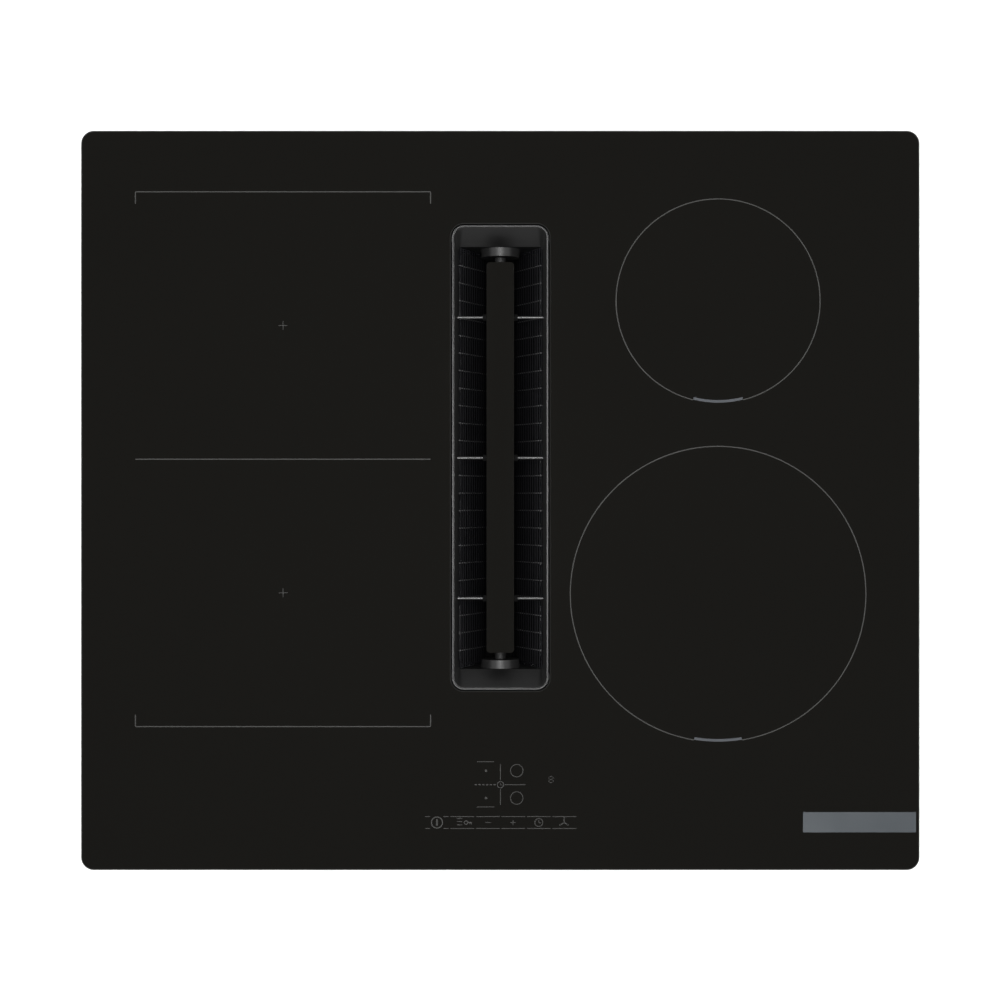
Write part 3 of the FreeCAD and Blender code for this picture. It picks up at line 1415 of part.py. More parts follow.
def cooling_fans():
    """Two box fans over the vents in the tray floor, each with its own bladed wheel."""
    frames = []
    for side, name in ((-1, "left"), (1, "right")):
        frame = loose_body(f"cooling_fan_frame_{name}")
        ring = sketch_on(frame, f"{name}_fan_ring")
        draw_rounded(ring, S.fan_frame, S.fan_frame, S.fan_arm_width)
        draw_circle(ring, S.fan_bore_radius)
        pad(frame, ring, S.fan_frame_height)
        hub = sketch_on(frame, f"{name}_fan_hub")
        draw_circle(hub, S.fan_hub_radius)
        pad(frame, hub, S.fan_arm_height)
        for index, across in enumerate(((S.fan_frame - S.fan_arm_width, S.fan_arm_width),
                                        (S.fan_arm_width, S.fan_frame - S.fan_arm_width))):
            arm = sketch_on(frame, f"{name}_fan_arm_{index}")
            draw_rectangle(arm, *across)
            pad(frame, arm, S.fan_arm_height)
        place(frame, side * S.fan_offset_x, S.fan_offset_y, TRAY_FLOOR)
        frames.append(frame)
        wheel = new_body(f"cooling_fan_wheel_{name}")
        foot = S.fan_arm_height + S.seat_gap
        height = S.fan_frame_height - foot - S.fan_arm_height
        core = sketch_on(wheel, f"{name}_wheel_core", "XY_Plane", foot)
        draw_circle(core, S.fan_hub_radius)
        pad(wheel, core, height)
        root_depth = S.fan_hub_radius - S.fan_arm_height
        blade = sketch_on(wheel, f"{name}_wheel_blade", "YZ_Plane", root_depth)
        sweep = S.fan_blade_chord / 2
        low = foot + S.fan_arm_height / 2
        high = foot + height - S.fan_arm_height / 2
        draw_outline(blade, [(-sweep, low), (S.fan_blade_sheet - sweep, low),
                             (sweep, high), (sweep - S.fan_blade_sheet, high)])
        first = pad(wheel, blade, S.fan_blade_radius - root_depth)
        turns = wheel.newObject("PartDesign::PolarPattern", f"{name}_wheel_blades")
        turns.Originals = [first]
        turns.Axis = (core, ["N_Axis"])
        bind(turns, "Occurrences", S.fan_blades)
        wheel.Tip = turns
        doc.recompute()
        place(wheel, side * S.fan_offset_x, S.fan_offset_y, TRAY_FLOOR)
    group("cooling_fan_frames", frames)


def touch_control():
    """Frame glued under the glass, the key board in it, sensor pads and the display."""
    y = S.control_depth / 2 - S.control_front
    width = S.control_width
    depth = S.control_depth
    wall = S.control_wall
    board_foot = GLASS_UNDERSIDE - S.control_drop - S.board_thickness
    board_top = board_foot + S.board_thickness
    frame = new_body("control_frame")
    outer = (width, depth, wall, ZERO, y)
    inner = (width - 2 * wall, depth - 2 * wall, wall / 2, ZERO, y)
    ledge = (width - 4 * wall, depth - 4 * wall, wall / 2, ZERO, y)
    add_ring(frame, "control_walls", outer, inner, board_foot, GLASS_UNDERSIDE - board_foot)
    add_ring(frame, "control_ledge", outer, ledge, board_foot - wall, wall)
    plate("control_board", (width - 2 * wall - 2 * S.fit_gap, depth - 2 * wall - 2 * S.fit_gap,
                            wall / 2, ZERO, y), board_foot, S.board_thickness)
    pads = []
    for step in KEY_STEP_SHARES:
        pads.append(cylinder("touch_pad", S.pad_pitch * step, -S.key_row, board_top,
                             S.pad_radius, S.control_drop))
    group("touch_pads", pads)
    plate("display_module", (S.display_width, S.display_depth, S.display_corner, ZERO,
                             y + S.display_depth / 4), board_top, S.display_height)


KEY_STEP_SHARES = (-2.5, -1.5, -0.5, 0.5, 1.5, 2.5)


def mains_entry():
    """Terminal block on the tray floor and the gland that a cable would come in through."""
    back = S.tray_depth / 2
    body = new_body("terminal_block")
    sketch = sketch_on(body, "terminal_outline", "XY_Plane", TRAY_FLOOR)
    draw_rectangle(sketch, S.terminal_width, S.terminal_depth, -S.terminal_offset,
                   back - S.terminal_depth * 1.5)
    pad(body, sketch, S.terminal_height)
    ports = sketch_on(body, "terminal_ports", "XY_Plane", TRAY_FLOOR + S.terminal_height)
    pitch = S.terminal_width / 6
    for step in TERMINAL_STEP_SHARES:
        draw_circle(ports, S.screw_head_radius, -S.terminal_offset + pitch * step,
                    back - S.terminal_depth * 1.5)
    pocket(body, ports, S.terminal_height / 3)
    gland = new_body("cable_gland")
    bore = S.gland_bore_radius
    thread = S.gland_thread_radius
    flange = S.gland_radius
    nut = S.gland_nut
    sheet_wall = S.tray_sheet
    turned(gland, "gland_section", [
        (bore, -nut - sheet_wall), (flange, -nut - sheet_wall), (flange, -sheet_wall),
        (thread, -sheet_wall), (thread, ZERO), (flange, ZERO), (flange, nut),
        (thread, S.gland_reach), (bore, S.gland_reach)])
    place(gland, -S.terminal_offset, back, TRAY_BOTTOM + S.gland_rise, -X_AXIS, QUARTER)


TERMINAL_STEP_SHARES = (-2, -1, 0, 1, 2)


def worktop_clips():
    """Leaf springs on the tray's sides that grip the edge of the worktop cut-out."""
    clips = []
    for side in (-1, 1):
        for y in (-S.clip_front, S.clip_back):
            body = loose_body("worktop_clip")
            sketch = sketch_on(body, "worktop_clip_section", "XZ_Plane",
                               -(y + S.worktop_clip_width / 2))
            wall = S.tray_width / 2
            leaf = S.worktop_clip_sheet
            reach = S.worktop_clip_reach
            top = GLASS_UNDERSIDE - S.worktop_clip_drop
            tab = top - reach
            bottom = top - S.worktop_clip_height
            middle = (tab + bottom) / 2
            shape = [(wall, bottom), (wall + leaf, bottom), (wall + leaf + reach, middle),
                     (wall + leaf, tab), (wall + leaf, top), (wall, top), (wall, tab),
                     (wall + reach, middle)]
            points = [(side * x, z) for x, z in shape]
            draw_outline(sketch, points if side > 0 else points[::-1])
            pad(body, sketch, S.worktop_clip_width)
            clips.append(body)
    group("worktop_clips", clips)


def check_and_write():
    """Stop on any failed object or unsound piece, then write one file per piece."""
    doc.recompute()
    for item in doc.Objects:
        if "Invalid" in item.State or "Error" in item.State:
            raise RuntimeError(f"{item.Name} failed: {item.State}")
    os.makedirs("parts", exist_ok=True)
    for piece in pieces:
        shape = piece.Shape
        if shape.isNull() or not shape.isValid() or shape.Volume <= 0:
            raise RuntimeError(f"{piece.Label} is not a sound solid")
    for piece in pieces:
        piece.Shape.exportStep(f"parts/{piece.Label}.step")
        print(f"{piece.Label}: {len(piece.Shape.Solids)} solid, {piece.Shape.Volume:.0f} mm3")


glass_plate()
rim_seals()
base_tray()
duct_throat()
inlet_frame()
inlet_trim()
centre_bar()
filter_panels()
grease_mesh()
plenum_housing()
overflow_container()
container_clips()
scroll_housing()
inlet_nozzle()
transfer_duct()
blower_wheel()
blower_motor()
outlet_collar()
driver_box()
module_fixings()
coil_stack()
coil_carriers()
power_boards()
cooling_fans()
touch_control()
mains_entry()
worktop_clips()
check_and_write()
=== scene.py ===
"""Looks of a venting induction cooktop, dressed on its packed construction model.

All sizes in the classes are millimetres in the model's own frame: X to the right, Y to the
back, Z up, with the origin on the floor under the middle of the glass. Meshes are turned into
metres when they are finished.
"""
import json
import logging
import math
from dataclasses import dataclass
from enum import Enum

import bmesh
import bpy
from mathutils import Matrix, Vector


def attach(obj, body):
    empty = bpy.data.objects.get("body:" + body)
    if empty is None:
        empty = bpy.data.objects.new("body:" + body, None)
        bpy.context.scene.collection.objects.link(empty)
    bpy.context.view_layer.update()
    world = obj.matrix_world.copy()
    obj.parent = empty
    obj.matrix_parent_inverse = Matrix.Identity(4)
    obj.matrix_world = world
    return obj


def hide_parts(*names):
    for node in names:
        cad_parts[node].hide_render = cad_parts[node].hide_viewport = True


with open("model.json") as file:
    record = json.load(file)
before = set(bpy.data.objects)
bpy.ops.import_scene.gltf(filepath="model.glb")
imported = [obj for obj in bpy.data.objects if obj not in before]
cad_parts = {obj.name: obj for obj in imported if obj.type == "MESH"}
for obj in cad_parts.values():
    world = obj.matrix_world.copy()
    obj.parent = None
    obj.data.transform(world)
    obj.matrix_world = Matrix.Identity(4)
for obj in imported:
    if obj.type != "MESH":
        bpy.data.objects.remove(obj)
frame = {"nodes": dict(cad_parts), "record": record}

LOG = logging.getLogger("cooktop")
MM = 0.001
WELD = 1e-5  # points of a shape that are closer than this become one
FRONT = 270.0  # the direction to the front, in degrees from X
ROOT = "cooktop"
FILTER = "filter_unit"

MIX_SHARE, MIX_FIRST, MIX_SECOND, MIX_RESULT = 0, 6, 7, 2  # sockets of a Mix node for colours
ROUGH_SWING = 0.15  # how far the roughness moves up and down with the grain
COARSER = 25.0  # how much coarser the broad part of a grain is than its fine part
DRAWN_STRETCH = 0.02  # how much drawn lines are stretched
RELIEF = 0.6  # strength of the relief
SIDE_LIGHT_TILT = (0.3, 0.9)  # how far a face looks sideways for none and all of its painted side light
GROUND_TILT = (0.93, 0.99)  # how far a face looks up for all and none of its ground colour
GROUND_ROUGHER = 0.25  # how much rougher a ground edge is
GROUND_SHINE = (0.5, 0.2)  # specular level of polished and of ground glass
SHADE_HEIGHTS = (168.0, 206.0)  # heights in the slot where the painted shade is full and where it ends
SHADE_SHINE = (0.10, 0.8)  # specular level in the painted shade and above it

Colour = tuple[float, float, float]
Point = tuple[float, float]


# ---- shader groups

class Grain(Enum):
    """The fine surface that a finish has."""

    MOULDED = "moulded"
    DRAWN = "drawn"
    ROLLED = "rolled"
    FOAMED = "foamed"
    POLISHED = "polished"


class Nodes:
    """Places shader nodes in a tree and links them.

    Args:
        tree: The node tree that the nodes go into.
    """

    def __init__(self, tree: bpy.types.NodeTree) -> None:
        """Keeps the tree."""
        self.tree = tree

    def add(self, kind: str, **values: object) -> bpy.types.Node:
        """Adds one node and sets its plain properties.

        Args:
            kind: The node's type name, without its ShaderNode prefix.
            values: Properties of the node, such as an operation.

        Returns:
            The new node.
        """
        node = self.tree.nodes.new("ShaderNode" + kind)
        for name, value in values.items():
            setattr(node, name, value)
        return node

    def link(self, source: bpy.types.NodeSocket, target: bpy.types.NodeSocket) -> None:
        """Joins an output to an input."""
        self.tree.links.new(source, target)

    def feed(self, target: bpy.types.NodeSocket, value: object) -> None:
        """Gives an input a plain value or the output of another node.

        Args:
            target: The input.
            value: A number, a colour or a socket.
        """
        if isinstance(value, bpy.types.NodeSocket):
            self.link(value, target)
        else:
            target.default_value = value

    def maths(self, operation: str, *inputs: object) -> bpy.types.NodeSocket:
        """Adds a Math node.

        Args:
            operation: The operation's name.
            inputs: Numbers or sockets, in order.

        Returns:
            The result's socket.
        """
        node = self.add("Math", operation=operation)
        for socket, value in zip(node.inputs, inputs):
            self.feed(socket, value)
        return node.outputs[0]

    def span(self, value: object, low: object, high: object, start: float = 0.0,
             end: float = 1.0) -> bpy.types.NodeSocket:
        """Maps a value from start..end onto low..high.

        Args:
            value: The socket that varies.
            low: The result at the start.
            high: The result at the end.
            start: Where the input's range starts.
            end: Where the input's range ends.

        Returns:
            The result's socket.
        """
        node = self.add("MapRange")
        for name, item in (("Value", value), ("From Min", start), ("From Max", end),
                           ("To Min", low), ("To Max", high)):
            self.feed(node.inputs[name], item)
        return node.outputs[0]

    def blend(self, share: object, first: object, second: object) -> bpy.types.NodeSocket:
        """Mixes two colours by a share.

        Args:
            share: How much of the second colour shows.
            first: The colour at a share of nothing.
            second: The colour at a full share.

        Returns:
            The mixed colour's socket.
        """
        node = self.add("Mix", data_type="RGBA")
        self.feed(node.inputs[MIX_SHARE], share)
        self.feed(node.inputs[MIX_FIRST], first)
        self.feed(node.inputs[MIX_SECOND], second)
        return node.outputs[MIX_RESULT]


class Effects:
    """The shader groups that several materials share, each built once."""

    def __init__(self) -> None:
        """Builds every group."""
        self.grain = self._grain()
        self.lines = self._lines()
        self.smudges = self._smudges()
        self.wear = self._wear()

    @staticmethod
    def _group(name: str, inputs: dict[str, float | None],
               outputs: tuple[str, ...]) -> tuple[Nodes, bpy.types.Node, bpy.types.Node]:
        """Starts a group with its sockets.

        Args:
            name: The group's name.
            inputs: Input names with their default numbers, or None for a vector.
            outputs: Names of the outputs, all plain numbers.

        Returns:
            The nodes of the group, its input node and its output node.
        """
        tree = bpy.data.node_groups.new(name, "ShaderNodeTree")
        for label, value in inputs.items():
            kind = "NodeSocketVector" if value is None else "NodeSocketFloat"
            socket = tree.interface.new_socket(label, in_out="INPUT", socket_type=kind)
            if value is not None:
                socket.default_value = value
        for label in outputs:
            tree.interface.new_socket(label, in_out="OUTPUT", socket_type="NodeSocketFloat")
        nodes = Nodes(tree)
        return nodes, tree.nodes.new("NodeGroupInput"), tree.nodes.new("NodeGroupOutput")

    @staticmethod
    def _noise(nodes: Nodes, place: bpy.types.NodeSocket, scale: bpy.types.NodeSocket,
               **values: float) -> bpy.types.Node:
        """Adds a noise texture to a group.

        Args:
            nodes: The group's nodes.
            place: Where the noise is read.
            scale: How fine it is.
            values: Numbers for its other inputs.

        Returns:
            The noise's node.
        """
        noise = nodes.add("TexNoise")
        nodes.link(place, noise.inputs["Vector"])
        nodes.link(scale, noise.inputs["Scale"])
        for name, value in values.items():
            noise.inputs[name].default_value = value
        return noise

    def _grain(self) -> bpy.types.NodeTree:
        """Fine irregular grain, as on moulded plastic, foam and rolled sheet.

        Returns:
            The group.
        """
        nodes, entry, leave = self._group(
            "fine_grain", {"Place": None, "Scale": 900.0, "Broad Scale": 30.0}, ("Mask", "Height"))
        place = entry.outputs["Place"]
        fine = self._noise(nodes, place, entry.outputs["Scale"], Detail=3.0, Roughness=0.6)
        broad = self._noise(nodes, place, entry.outputs["Broad Scale"], Detail=4.0)
        both = nodes.maths("MULTIPLY", nodes.maths("ADD", fine.outputs[0], broad.outputs[0]), 0.5)
        nodes.link(nodes.span(both, 0.0, 1.0, 0.3, 0.7), leave.inputs["Mask"])
        nodes.link(fine.outputs[0], leave.inputs["Height"])
        return nodes.tree

    def _lines(self) -> bpy.types.NodeTree:
        """Fine lines drawn along one axis by brushing or rolling.

        Returns:
            The group.
        """
        nodes, entry, leave = self._group(
            "drawn_lines", {"Place": None, "Scale": 2500.0, "Stretch": 0.02}, ("Mask", "Height"))
        squeeze = nodes.add("CombineXYZ")
        squeeze.inputs[0].default_value = 1.0
        squeeze.inputs[2].default_value = 1.0
        nodes.link(entry.outputs["Stretch"], squeeze.inputs[1])
        drawn = nodes.add("VectorMath", operation="MULTIPLY")
        nodes.link(entry.outputs["Place"], drawn.inputs[0])
        nodes.link(squeeze.outputs[0], drawn.inputs[1])
        noise = self._noise(nodes, drawn.outputs[0], entry.outputs["Scale"], Detail=5.0,
                            Roughness=0.7)
        nodes.link(nodes.span(noise.outputs[0], 0.0, 1.0, 0.3, 0.7), leave.inputs["Mask"])
        nodes.link(noise.outputs[0], leave.inputs["Height"])
        return nodes.tree

    def _smudges(self) -> bpy.types.NodeTree:
        """Soft patches left by handling and wiping, sparse and uneven.

        Returns:
            The group.
        """
        nodes, entry, leave = self._group(
            "smudges", {"Place": None, "Scale": 14.0, "Spread": 0.55}, ("Mask",))
        cloud = self._noise(nodes, entry.outputs["Place"], entry.outputs["Scale"], Detail=6.0,
                            Distortion=0.8)
        edge = nodes.add("MapRange", interpolation_type="SMOOTHSTEP")
        nodes.link(cloud.outputs[0], edge.inputs["Value"])
        nodes.link(entry.outputs["Spread"], edge.inputs["From Min"])
        nodes.link(nodes.maths("ADD", entry.outputs["Spread"], 0.2), edge.inputs["From Max"])
        nodes.link(edge.outputs[0], leave.inputs["Mask"])
        return nodes.tree

    def _wear(self) -> bpy.types.NodeTree:
        """Bright or matt wear that gathers on outer edges.

        Returns:
            The group.
        """
        nodes, entry, leave = self._group(
            "edge_wear", {"Place": None, "Radius": 0.0008, "Break Up": 120.0}, ("Mask",))
        round_edge = nodes.add("Bevel")
        round_edge.samples = 4
        nodes.link(entry.outputs["Radius"], round_edge.inputs["Radius"])
        flat = nodes.add("NewGeometry")
        alike = nodes.add("VectorMath", operation="DOT_PRODUCT")
        nodes.link(round_edge.outputs[0], alike.inputs[0])
        nodes.link(flat.outputs["Normal"], alike.inputs[1])
        edge = nodes.span(alike.outputs["Value"], 1.0, 0.0, 0.85, 0.995)
        patchy = self._noise(nodes, entry.outputs["Place"], entry.outputs["Break Up"],
                             Detail=4.0)
        broken = nodes.span(patchy.outputs[0], 0.0, 1.0, 0.4, 0.6)
        nodes.link(nodes.maths("MULTIPLY", edge, broken), leave.inputs["Mask"])
        return nodes.tree


# ---- finishes

@dataclass(frozen=True)
class Finish:
    """One finish of the cooktop: its colour, gloss and fine surface.

    Args:
        name: A plain name of the finish.
        colour: Its colour, linear.
        roughness: Its usual roughness.
        metallic: 1 for bare metal.
        grain: The kind of fine surface.
        scale: How fine the surface is, per metre.
        depth: How deep the surface's relief is, in millimetres.
        variation: How far the colour moves up and down.
        worn: The colour that wear lays bare on outer edges, or None.
        turn: Angle of drawn lines about Z, in degrees. 0 draws them along Y.
        ior: Index of refraction of the surface.
        handled: How much rougher the patches left by hands are.
        ground: The colour of edges that are ground and not polished, or None.
        soften: How far the shading rounds off edges, in millimetres.
        side_light: The colour of faces that look sideways, where the grain is coarser, or None.
        deep: The colour painted low down in the slot as shade, or None.
    """

    name: str
    colour: Colour
    roughness: float
    metallic: float = 0.0
    grain: Grain = Grain.MOULDED
    scale: float = 1800.0
    depth: float = 0.02
    variation: float = 0.12
    worn: Colour | None = None
    turn: float = 0.0
    ior: float = 1.5
    handled: float = 0.06
    ground: Colour | None = None
    soften: float = 0.0
    # side_light: The colour painted on faces that look sideways, as light falling on them, or None.
    side_light: Colour | None = None
    deep: Colour | None = None


class Paintbox:
    """Makes each finish into a material once.

    Args:
        effects: The shader groups that the materials share.
    """

    def __init__(self, effects: Effects) -> None:
        """Starts with no materials."""
        self.effects = effects
        self.made: dict[str, bpy.types.Material] = {}

    def material(self, finish: Finish) -> bpy.types.Material:
        """Gives the material of a finish, and makes it if it is new.

        Args:
            finish: The finish.

        Returns:
            Its material.
        """
        if finish.name not in self.made:
            self.made[finish.name] = self._mix(finish)
        return self.made[finish.name]

    def _effect(self, nodes: Nodes, group: bpy.types.NodeTree, place: bpy.types.NodeSocket,
                **values: float) -> bpy.types.Node:
        """Places a shared group in a material with its own values.

        Args:
            nodes: The material's nodes.
            group: The shared group.
            place: Where on the piece the pattern is read.
            values: Numbers for the group's inputs, with _ for a space.

        Returns:
            The group's node.
        """
        node = nodes.add("Group")
        node.node_tree = group
        nodes.link(place, node.inputs["Place"])
        for name, value in values.items():
            node.inputs[name.replace("_", " ")].default_value = value
        return node

    def _facing(self, nodes: Nodes, axis: int) -> bpy.types.NodeSocket:
        """Tells how far a face looks along an axis, either way.

        Args:
            nodes: The material's nodes.
            axis: 0 for X, 1 for Y and 2 for Z.

        Returns:
            The socket of a number from 0 to 1.
        """
        split = nodes.add("SeparateXYZ")
        nodes.link(nodes.add("TexCoord").outputs["Normal"], split.inputs[0])
        return nodes.maths("ABSOLUTE", split.outputs[axis])

    def _mix(self, finish: Finish) -> bpy.types.Material:
        """Builds the material of a finish.

        Args:
            finish: The finish.

        Returns:
            The new material.
        """
        material = bpy.data.materials.new(finish.name)
        material.use_nodes = True
        nodes = Nodes(material.node_tree)
        shader = material.node_tree.nodes["Principled BSDF"]
        shader.inputs["Metallic"].default_value = finish.metallic
        shader.inputs["IOR"].default_value = finish.ior
        place = nodes.add("TexCoord").outputs["Object"]
        if finish.turn:
            turned = nodes.add("Mapping")
            turned.inputs["Rotation"].default_value[2] = math.radians(finish.turn)
            nodes.link(place, turned.inputs["Vector"])
            place = turned.outputs[0]
        if finish.grain is Grain.DRAWN:
            fine = self._effect(nodes, self.effects.lines, place, Scale=finish.scale,
                                Stretch=DRAWN_STRETCH)
        else:
            fine = self._effect(nodes, self.effects.grain, place, Scale=finish.scale,
                                Broad_Scale=finish.scale / COARSER)
        mask = fine.outputs["Mask"]
        dark = tuple(part * (1 - finish.variation) for part in finish.colour) + (1.0,)
        pale = tuple(part * (1 + finish.variation) for part in finish.colour) + (1.0,)
        colour = nodes.blend(mask, dark, pale)
        handled = self._effect(nodes, self.effects.smudges, place).outputs["Mask"]
        rough = nodes.span(mask, finish.roughness * (1 - ROUGH_SWING),
                           finish.roughness * (1 + ROUGH_SWING))
        rough = nodes.maths("ADD", rough, nodes.maths("MULTIPLY", handled, finish.handled))
        if finish.worn is not None:
            worn = self._effect(nodes, self.effects.wear, place).outputs["Mask"]
            colour = nodes.blend(worn, colour, finish.worn + (1.0,))
        if finish.side_light is not None:
            # painted light: faces that look sideways get a lighter colour, standing in for the
            # light on them
            side_lit = nodes.span(self._facing(nodes, 0), 0.0, 1.0, *SIDE_LIGHT_TILT)
            colour = nodes.blend(side_lit, colour, finish.side_light + (1.0,))
        if finish.deep is not None:
            # painted shade: the colour and the specular level darken towards the bottom of the
            # slot, standing in for the shade there
            height = nodes.add("SeparateXYZ")
            nodes.link(place, height.inputs[0])
            unshaded = nodes.span(height.outputs[2], 0.0, 1.0, *(z * MM for z in SHADE_HEIGHTS))
            colour = nodes.blend(unshaded, finish.deep + (1.0,), colour)
            nodes.link(nodes.span(unshaded, *SHADE_SHINE), shader.inputs["Specular IOR Level"])
        if finish.ground is not None:
            ground = nodes.span(self._facing(nodes, 2), 1.0, 0.0, *GROUND_TILT)
            colour = nodes.blend(ground, colour, finish.ground + (1.0,))
            rougher = nodes.maths("MULTIPLY", ground, GROUND_ROUGHER)
            rough = nodes.maths("ADD", rough, rougher)
            nodes.link(nodes.span(ground, *GROUND_SHINE), shader.inputs["Specular IOR Level"])
        nodes.link(colour, shader.inputs["Base Color"])
        nodes.link(rough, shader.inputs["Roughness"])
        if finish.depth and finish.grain is not Grain.POLISHED:
            bump = nodes.add("Bump")
            bump.inputs["Strength"].default_value = RELIEF
            bump.inputs["Distance"].default_value = finish.depth * MM
            nodes.link(fine.outputs["Height"], bump.inputs["Height"])
            if finish.soften:
                soft = nodes.add("Bevel")
                soft.inputs["Radius"].default_value = finish.soften * MM
                nodes.link(soft.outputs[0], bump.inputs["Normal"])
            nodes.link(bump.outputs[0], shader.inputs["Normal"])
        return material


TRIM_METAL = Finish("trim_metal", (0.010, 0.010, 0.010), 0.45, 0.0, Grain.DRAWN, 2600.0, 0.002,
                    0.1, ior=1.32, soften=0.25)
# the deep colour paints shade on the slotted sheets low in the slot
PANEL_METAL = Finish("panel_metal", (0.0068, 0.0068, 0.0080), 0.5, 0.0, Grain.ROLLED, 1500.0, 0.01,
                     0.25, ior=1.24, deep=(0.0006, 0.0006, 0.0010))
WIRE_METAL = Finish("wire_metal", (0.085, 0.085, 0.085), 0.6, 1.0, Grain.DRAWN, 2000.0, 0.001, 0.2)
PRINT_GREY, PRINT_BRIGHT, PRINT_KEYS = (
    Finish(name, colour, 0.9, scale=3000.0, depth=0.0, variation=0.06, ior=1.08)
    for name, colour in (("print_grey", (0.032, 0.032, 0.031)),
                         ("print_bright", (0.0425, 0.045, 0.0495)),
                         ("print_keys", (0.029, 0.029, 0.028))))
PLATE_GREY = Finish("plate_grey", (0.0168, 0.0212, 0.0252), 0.38, scale=900.0, depth=0.0,
                    variation=0.05)
FLOOR_PAINT = Finish("floor_paint", (0.82, 0.82, 0.82), 0.7, scale=40.0, depth=0.0, variation=0.01)

SLOT_FINISHES: dict[str, Finish] = {
    "black_glass": Finish("polished_glass", (0.00256, 0.00239, 0.00195), 0.008,
                          grain=Grain.POLISHED, scale=300.0, variation=0.04, handled=0.004,
                          ground=(0.009, 0.009, 0.0085)),
    "rim_foam": Finish("rim_foam", (0.012, 0.012, 0.013), 0.95, grain=Grain.FOAMED, scale=1400.0,
                       depth=0.25, variation=0.3),
    "bond": Finish("silicone_bond", (0.012, 0.012, 0.012), 0.5, scale=400.0, depth=0.1),
    "tray_sheet": Finish("coated_sheet", (0.40, 0.41, 0.42), 0.42, 0.9, Grain.ROLLED, 160.0, 0.01,
                         0.14, worn=(0.62, 0.63, 0.64)),
    "throat_plastic": Finish("throat_plastic", (0.002, 0.002, 0.002), 0.7, scale=2400.0),
    # the frame's walls get painted side light
    "frame_plastic": Finish("frame_plastic", (0.0015, 0.0015, 0.0015), 0.42, scale=2200.0,
                            depth=0.01, ior=1.37, soften=0.3, side_light=(0.008, 0.008, 0.008)),
    "trim_steel": TRIM_METAL,
    "spine_plastic": Finish("spine_plastic", (0.008, 0.008, 0.008), 0.55, scale=2600.0, depth=0.01,
                            ior=1.3),
    "rod_steel": Finish("rod_metal", (0.02, 0.02, 0.02), 0.35, 0.0, Grain.DRAWN, 3000.0, 0.001,
                        0.08, turn=90.0, ior=1.44),
    "collar_rubber": Finish("collar_rubber", (0.002, 0.002, 0.002), 0.85, scale=1800.0, ior=1.15),
    "panel_steel": PANEL_METAL,
    "mesh_metal": Finish("mesh_metal", (0.0012, 0.0012, 0.0012), 0.8, 0.0, Grain.ROLLED, 900.0,
                         0.15, 0.4, ior=1.1),
    "channel_plastic": Finish("channel_plastic", (0.002, 0.002, 0.002), 0.85, scale=2000.0,
                              ior=1.15),
    "housing_plastic": Finish("housing_plastic", (0.030, 0.031, 0.032), 0.48, scale=1500.0,
                              depth=0.06, worn=(0.075, 0.076, 0.078)),
    "container_plastic": Finish("container_plastic", (0.085, 0.088, 0.09), 0.4, scale=1800.0,
                                depth=0.04, worn=(0.16, 0.165, 0.17)),
    "seal_rubber": Finish("seal_rubber", (0.014, 0.014, 0.014), 0.7, scale=1800.0),
    "spring_steel": Finish("spring_metal", (0.55, 0.55, 0.54), 0.3, 1.0, Grain.DRAWN, 2200.0,
                           0.003, 0.12, worn=(0.7, 0.7, 0.68)),
    "wheel_plastic": Finish("wheel_plastic", (0.05, 0.052, 0.055), 0.45, scale=1600.0),
    "motor_metal": Finish("motor_metal", (0.36, 0.36, 0.35), 0.38, 1.0, Grain.ROLLED, 300.0, 0.01,
                          0.1),
    "shaft_steel": Finish("shaft_metal", (0.6, 0.6, 0.6), 0.2, 1.0, Grain.DRAWN, 2400.0, 0.001,
                          0.06),
    "driver_plastic": Finish("driver_plastic", (0.018, 0.018, 0.018), 0.55, scale=1300.0,
                             depth=0.05),
    "screw_steel": Finish("screw_metal", (0.5, 0.5, 0.48), 0.3, 1.0, Grain.ROLLED, 900.0, 0.004,
                          0.12),
    "copper_wire": Finish("copper_wire", (0.55, 0.19, 0.07), 0.35, 0.9, Grain.DRAWN, 1800.0, 0.02,
                          0.2),
    "former_plastic": Finish("former_plastic", (0.45, 0.43, 0.38), 0.5, scale=1200.0),
    "ferrite": Finish("ferrite_block", (0.025, 0.024, 0.024), 0.55, scale=1500.0, depth=0.05),
    "mica": Finish("mica_sheet", (0.33, 0.27, 0.19), 0.4, grain=Grain.ROLLED, scale=260.0,
                   variation=0.25, depth=0.02),
    "sensor_cap": Finish("sensor_cap", (0.6, 0.59, 0.56), 0.5, scale=1400.0),
    "carrier_aluminium": Finish("carrier_metal", (0.5, 0.51, 0.52), 0.36, 1.0, Grain.ROLLED, 260.0,
                                0.01, 0.1),
    "board_green": Finish("board_resin", (0.02, 0.12, 0.05), 0.35, scale=700.0, depth=0.02),
    "board_parts": Finish("board_parts", (0.03, 0.032, 0.04), 0.4, scale=900.0),
    "sink_aluminium": Finish("sink_metal", (0.55, 0.56, 0.57), 0.4, 1.0, Grain.DRAWN, 900.0, 0.01,
                             0.1),
    "fan_plastic": Finish("fan_plastic", (0.02, 0.02, 0.021), 0.45, scale=1500.0),
    "nylon_white": Finish("white_nylon", (0.62, 0.62, 0.59), 0.45, scale=1500.0),
    "gland_plastic": Finish("gland_plastic", (0.022, 0.022, 0.022), 0.4, scale=1500.0),
    "pad_foam": Finish("pad_foam", (0.03, 0.03, 0.03), 0.9, grain=Grain.FOAMED, scale=1300.0,
                       depth=0.15),
    "display_plastic": Finish("display_plastic", (0.05, 0.01, 0.01), 0.2, scale=500.0, depth=0.0),
}


# ---- shaping

